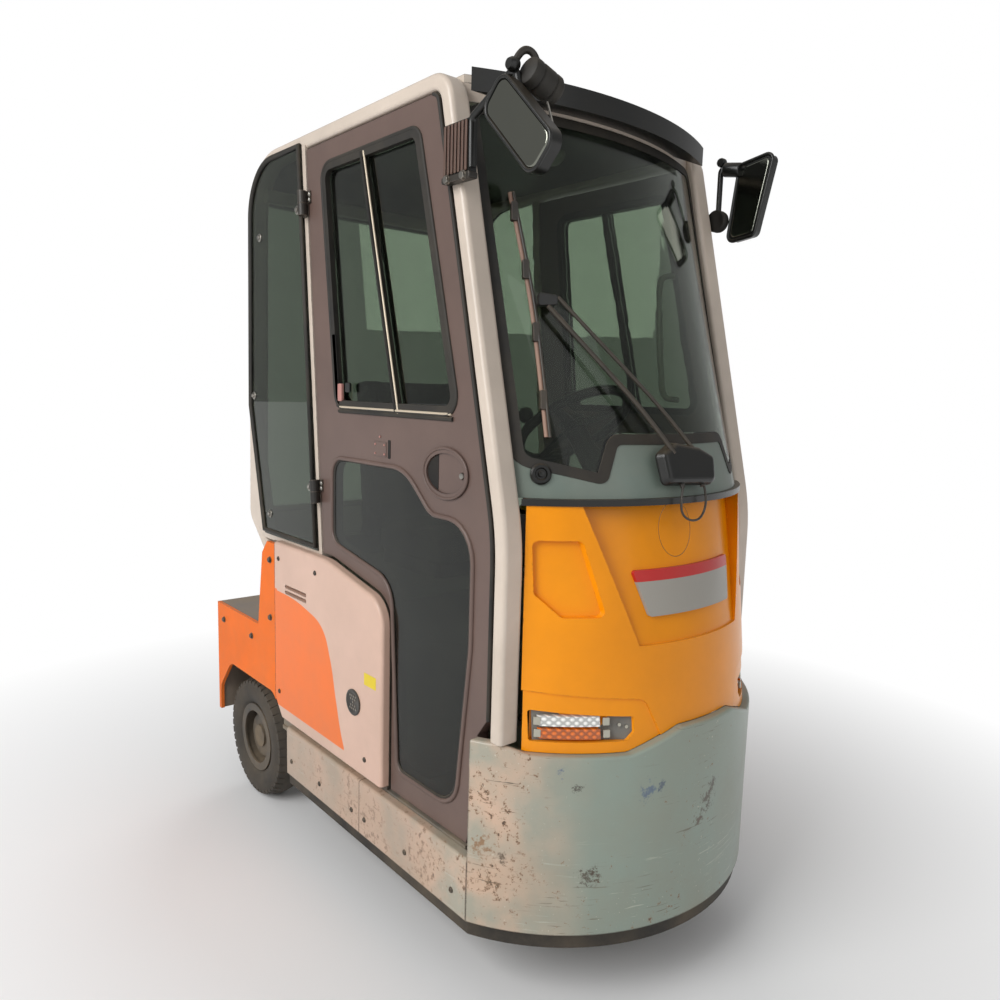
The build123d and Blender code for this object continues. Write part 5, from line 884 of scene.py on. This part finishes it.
rod("mirror_lip_left", lip, 0.0050, plastic, closed=True)
shrunk = [(316 + (depth - 316) * 0.86, 2007 + (z - 2007) * 0.92) for depth, z in LEFT_HEAD]
slab(
    "mirror_glass_left", [(315 - depth, z - 2007) for depth, z in rounded_outline(shrunk, 12)],
    facing(metres(481.5, 315, 2007), RIGHTWARD), 4.2, mirror_glass, bevel=3, taper=0.96, segments=4,
)
slab(
    "mirror_shell_left", [(depth - 315, z - 2007) for depth, z in rounded_outline(LEFT_HEAD, 17)[::-1]],
    facing(metres(506.6, 315, 2007), LEFTWARD), 9, plastic, bevel=6, taper=0.86, segments=4,
)

# Door trim
# Pressed beads and rubber around the panes, a pale guide bar for the sliding pane, a
# latch and a lock slot, and an oval pull with a sprung paddle and a steel button.
LOWER_PANE = (
    (990, 1250), (620, 1250), (505, 1150), (339, 1150), (339, 860), (385, 445), (640, 445), (676, 948), (990, 1005),
)
LOWER_RADII = [50, 150, 60, 95, 250, 80, 35, 85, 50]
UPPER_PANE = ((400, 1388), (578, 2055), (1056, 2055), (968, 1388))
guide_metal = surface(
    "guide_bar", (206, 192, 170), 0.4, metallic=0.3, low_dust=0.3, high_dust=0.1
)
latch_pink = surface("latch_block", (176, 124, 116), worn=(90, 70, 62), low_dust=0.3)
# Flat black pieces in the gaps, slots and hollows of the doors stand in for their shade: painted shadow.
painted_shadow = simple("shadow_gap", (8, 8, 8), 0.8)
# Bars of the sliding pane: name, place across, the two ends, radius and finish
BARS = (
    ("pane_guide", 469, (651, 1384), (826, 2046), 0.0030, guide_metal),
    ("pane_gap", 468, (664, 1386), (840, 2046), 0.0050, painted_shadow),
    ("pane_sill", 469, (430, 1392), (944, 1392), 0.0034, guide_metal),
    ("pane_channel", 468, (425, 1381), (950, 1381), 0.0055, rubber),
)
# Latch pieces: name, outline, place, thickness, finish and bevel
LATCHES = (
    ("pane_latch", box(11, 24, 4), (464, 942, 1432), 9, latch_pink, 2),
    ("pane_grip", box(12, 13, 4), (464, 903, 1446), 7, plastic, 2),
    ("latch_plate", box(30, 20, 3), (466.8, 738, 1290), 1.4, door_paint, 0.6),
    ("latch_slot", box(6, 24, 3), (466.8, 694, 1292), 1.2, painted_shadow, 0.3),
)


def loop(name, outline, x, radius, finish_used, body="body"):
    """A round bead along a closed outline of depths and heights, in the upright plane at x, in millimetres."""
    points = [metres(x, depth, height) for depth, height in outline]
    return rod(name, points, radius, finish_used, body, closed=True)


def shrink(outline):
    """An outline of depths and heights drawn in a little towards its middle."""
    middle_depth, middle_height = (sum(c) / len(outline) for c in zip(*outline))
    return [(d + (middle_depth - d) * 0.03, h + (middle_height - h) * 0.012) for d, h in outline]


def ring_outline(depth, height, half_depth, half_height, steps=36):
    """Oval outline of depths and heights."""
    turns = (math.tau * i / steps for i in range(steps))
    return [(depth + half_depth * math.cos(a), height + half_height * math.sin(a)) for a in turns]


for side, sign in SIDES:
    door = f"{side}_door"
    outward = (sign, 0, 0)
    lower = rounded_outline(LOWER_PANE, LOWER_RADII)
    loop(f"lower_pane_bead_{side}", lower, sign * 467.5, 0.0062, door_paint, door)
    loop(f"lower_pane_rubber_{side}", shrink(lower), sign * 465.5, 0.0045, rubber, door)
    loop(f"upper_pane_rubber_{side}", rounded_outline(UPPER_PANE, 45), sign * 467.2, 0.0052, rubber, door)
    for name, x, start, end, radius, finish_used in BARS:
        rod(f"{name}_{side}", [metres(sign * x, *start), metres(sign * x, *end)], radius, finish_used, door)
    track = facing(metres(sign * 464, 968, 1492), outward, (0, 0.13, 1))
    slab(f"pane_track_{side}", box(9, 100, 3), track, 6, painted_shadow, door, bevel=1)
    for name, outline, (x, depth, height), thickness, finish_used, bevel in LATCHES:
        place = facing(metres(sign * x, depth, height), outward)
        slab(f"{name}_{side}", outline, place, thickness, finish_used, door, bevel=bevel)
    for index, (depth, height) in enumerate(((716, 1302), (760, 1302), (716, 1278), (760, 1278), (738, 1322))):
        lathe(
            f"latch_screw_{side}_{index}", ((0.1, 0), (3.4, 0), (3.2, 1.4), (0.1, 2)),
            metres(sign * 468.0, depth, height), outward, latch_pink, door, steps=12,
        )
    # Pull: raised lip, painted shadow in the hollow behind the paddle's rear edge, lock button ahead
    loop(f"pull_lip_{side}", ring_outline(450, 1254, 86, 59), sign * 470.5, 0.0034, door_paint, door)
    hollow = sorted((p for p in ring_outline(450, 1254, 72, 45, 60) if p[0] > 477), key=lambda p: p[1])
    slab(
        f"pull_hollow_shadow_{side}", [((depth - 450) * sign, height - 1254) for depth, height in hollow[::sign]],
        facing(metres(sign * 466.6, 450, 1254), outward), 0.9, painted_shadow, door, bevel=0.2,
    )
    lathe(
        f"pull_button_{side}", ((0.1, 0), (8, 0), (8, 3), (6.4, 5), (0.1, 5.6)), metres(sign * 468, 385, 1254),
        outward, bare_steel, door, steps=24,
    )


# Door seals
# A black rubber lip along the front edge of each door, from the S of the pane upwards.
def hull_side(points):
    """One side of the convex outline around points in a plane, from the first to the last."""
    chain = []
    for p in points:
        while len(chain) > 1:
            (ax, ay), (bx, by) = chain[-2], chain[-1]
            if (bx - ax) * (p[1] - ay) - (by - ay) * (p[0] - ax) > 0:
                break
            chain.pop()
        chain.append(p)
    return chain


def flat_points(name, keep):
    """Depths and heights in millimetres of a CAD node's points that keep says yes to."""
    return [((v.co.y - NOSE_Y) * 1000, v.co.z * 1000) for v in nodes[name].data.vertices if keep(v.co)]


SEAL_START = 650
for side, sign in SIDES:
    face = flat_points(f"door_{side}", lambda place: abs(place.x) > 0.4665)
    levels = sorted({round(p[1]) for p in face}, reverse=True)
    edge = [(min(p[0] for p in face if abs(p[1] - level) < 1.0), level) for level in levels]
    points = [metres(sign * 464.5, depth - 2.0, z) for depth, z in hull_side(edge)[::-1] if z > SEAL_START]
    rod(f"door_seal_{side}", points, 0.0050, rubber, f"{side}_door")

# Quarter windows and labels
# A thick rubber edge holds each quarter pane. A plain yellow label sits at the front of
# the side panel.
quarter_points = flat_points("quarter_windows", lambda place: place.x < 0)
quarter = sorted({(round(depth, 1), round(height, 1)) for depth, height in quarter_points})
quarter_outline = hull_side(quarter)[:-1] + hull_side(quarter[::-1])[:-1]
label_yellow = simple("label_yellow", (226, 200, 40), 0.5)
for side, sign in SIDES:
    loop(f"quarter_rubber_{side}", shrink(quarter_outline), sign * 472.5, 0.0085, rubber)
    place = facing(metres(sign * 495.1, 735, 668), (sign, 0, 0))
    slab(f"label_{side}", box(30, 17, 2), place, 0.5, label_yellow, bevel=0.15)

# Seat
# A cushion and a backrest in dark woven cloth over foam. Each is sewn from panels, so
# channels cross it where the cloth is pulled down, and the foam swells between them.
seat_cloth = surface(
    "seat_cloth", (40, 42, 44), 0.92, vary=0.25, low_dust=0.2, high_dust=0.12, grain_scale=1400.0, grain_depth=0.5
)
SEAT_SHRINK = 0.955
SEAT_VOXEL = 0.006
SWELL_LIMIT = 0.012
CHANNEL_WIDTH = 0.006
CHANNEL_DEPTH = 0.0055
PRESSED_FRAMES = 20


def swollen(name, source, keep, channels):
    """A cushion swollen by pressure from its solid; keep is its resting face's axis, place and side."""
    pad = bpy.data.objects.new(name, source.data.copy())
    bpy.context.collection.objects.link(pad)
    centre = sum((v.co for v in pad.data.vertices), Vector()) / len(pad.data.vertices)
    for vertex in pad.data.vertices:
        vertex.co = centre + (vertex.co - centre) * SEAT_SHRINK
    bpy.context.view_layer.objects.active = pad
    remesh = pad.modifiers.new("remesh", "REMESH")
    remesh.mode = "VOXEL"
    remesh.voxel_size = SEAT_VOXEL
    bpy.ops.object.modifier_apply(modifier="remesh")
    pressed = pad.modifiers.new("pressure", "CLOTH")
    pressed.settings.use_pressure = True
    pressed.settings.uniform_pressure_force = 4.0
    pressed.settings.effector_weights.gravity = 0.0
    pressed.point_cache.frame_start = 1
    pressed.point_cache.frame_end = PRESSED_FRAMES
    for number in range(1, PRESSED_FRAMES + 1):
        bpy.context.scene.frame_set(number)
    moved = pad.evaluated_get(bpy.context.evaluated_depsgraph_get())
    places = [v.co.copy() for v in moved.data.vertices]
    pad.modifiers.remove(pressed)
    bpy.context.scene.frame_set(1)
    for vertex, after in zip(pad.data.vertices, places):
        shift = after - vertex.co
        if shift.length > SWELL_LIMIT:
            shift *= SWELL_LIMIT / shift.length
        vertex.co += shift
    axis, level, way = keep
    for vertex in pad.data.vertices:
        if (vertex.co[axis] - level) * way < 0:
            vertex.co[axis] = level
        drop = sum(math.exp(-(((vertex.co[along] - at) / CHANNEL_WIDTH) ** 2)) for along, at in channels)
        inward = centre - vertex.co
        inward[0] = 0.0
        vertex.co += inward.normalized() * CHANNEL_DEPTH * min(drop, 1.0)
    smooth = pad.modifiers.new("smooth", "SUBSURF")
    smooth.levels = 1
    bpy.ops.object.modifier_apply(modifier="smooth")
    pad.data.polygons.foreach_set("use_smooth", [True] * len(pad.data.polygons))
    pad.data.materials.clear()
    carry(pad, seat_cloth, "body")
    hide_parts(source.name)


# Channels: the axis that each lies across, and its place on it
swollen("cushion", nodes["seat_cushion"], (2, 0.9302, 1), ((0, -0.14), (0, 0.14), (1, 0.02)))
swollen("backrest", nodes["seat_back"], (1, 0.2355, 1), ((0, -0.13), (0, 0.13), (2, 1.12), (2, 1.24), (2, 1.36)))

# Cab inside
# Moulded dash with a display, rockers and a key; two rubber pedals; a red stop button,
# a white grab tube on the left pillar, a roof lamp, and a knob and a cap on the wheel.
UP, AHEAD = (0, 0, 1), (0, -1, 0)
display = simple("display", (40, 52, 50), 0.12, coat=0.6)
slab("dash_display", box(70, 34, 8), facing(metres(0, 330, 1170.3), UP, AHEAD), 16, plastic, bevel=4)
slab("dash_display_pane", box(56, 24, 4), facing(metres(0, 330, 1186), UP, AHEAD), 1.6, display, bevel=0.6)
for index, x in enumerate((-230, -190, -150, 150, 190)):
    place = facing(metres(x, 335, 1170.2), UP, AHEAD)
    slab(f"dash_rocker_{index}", box(13, 18, 4), place, 9, plastic, bevel=2.5)
lathe(
    "dash_key_barrel", ((0.1, 0), (15, 0), (15, 5), (12, 8), (6, 8), (6, 6), (0.1, 6)), metres(240, 330, 1170.2),
    UP, bare_steel,
)
slab("dash_key", box(3, 12, 1.5), facing(metres(240, 330, 1176), UP, AHEAD), 28, plastic, bevel=1)
lathe(
    "stop_base", ((0.1, 0), (27, 0), (27, 6), (22, 14), (0.1, 14)), metres(-290, 345, 1170.2), UP, label_yellow,
)
lathe(
    "stop_button", ((0.1, 0), (9, 0), (9, 6), (20, 8), (21, 14), (18, 20), (10, 23), (0.1, 24)),
    metres(-290, 345, 1184), UP, simple("red_button", (170, 26, 18), 0.35, coat=0.5), steps=28,
)
for name, x, wide in (("brake", -90, 38), ("drive", 60, 30)):
    pedal_place = facing(metres(x, 515, 560), (0, 0.75, 0.66), (0, -0.66, 0.75))
    slab(f"{name}_pedal", box(wide, 46, 12), pedal_place, 12, rubber, bevel=3, segments=3)
    for index in range(4):
        place = pedal_place @ Matrix.Translation((0, -0.03 + index * 0.02, 0.0118))
        slab(f"{name}_pedal_rib_{index}", box(wide - 6, 3, 2), place, 3, rubber, bevel=1)
GRAB_TUBE = (
    (402, 500, 1800), (374, 512, 1800), (362, 524, 1780), (356, 510, 1640), (356, 490, 1480), (362, 484, 1446),
    (378, 474, 1436), (402, 460, 1436),
)
rod(
    "grab_tube", [metres(*place) for place in GRAB_TUBE], 0.009,
    simple("white_tube", (206, 208, 196), 0.3, coat=0.3), smooth=True,
)
lathe(
    "roof_lamp", ((0.1, 0), (46, 0), (48, 6), (44, 20), (34, 30), (0.1, 34)), metres(0, 640, 2100), (0, 0, -1),
    simple("roof_lamp", (190, 188, 172), 0.4), steps=32,
)
WHEEL_CENTRE, WHEEL_AXIS = Vector((0, -0.45, 1.36)), Vector((0, 0.6157, 0.788))
lathe(
    "wheel_knob",
    ((0.1, -6), (13, -6), (15, 0), (12, 8), (9, 14), (18, 22), (22, 32), (21, 44), (13, 52), (0.1, 54)),
    WHEEL_CENTRE + Vector((-0.16, 0, 0)), WHEEL_AXIS, plastic, "hand_wheel", steps=28,
)
lathe(
    "wheel_cap", ((0.1, 0), (36, 0), (38, 4), (30, 12), (14, 17), (0.1, 18)), WHEEL_CENTRE - WHEEL_AXIS * 0.004,
    WHEEL_AXIS, plastic, "hand_wheel", steps=32,
)

# Rear
# Tail lamps with red and amber windows in the rear plate.
AMBER_START = 0.44
red_lens = lens("tail_red", (176, 20, 16), 0.05)
fit_lenses("rear_lamps", red_lens, amber_lens, lambda centre: abs(centre.x) > AMBER_START)
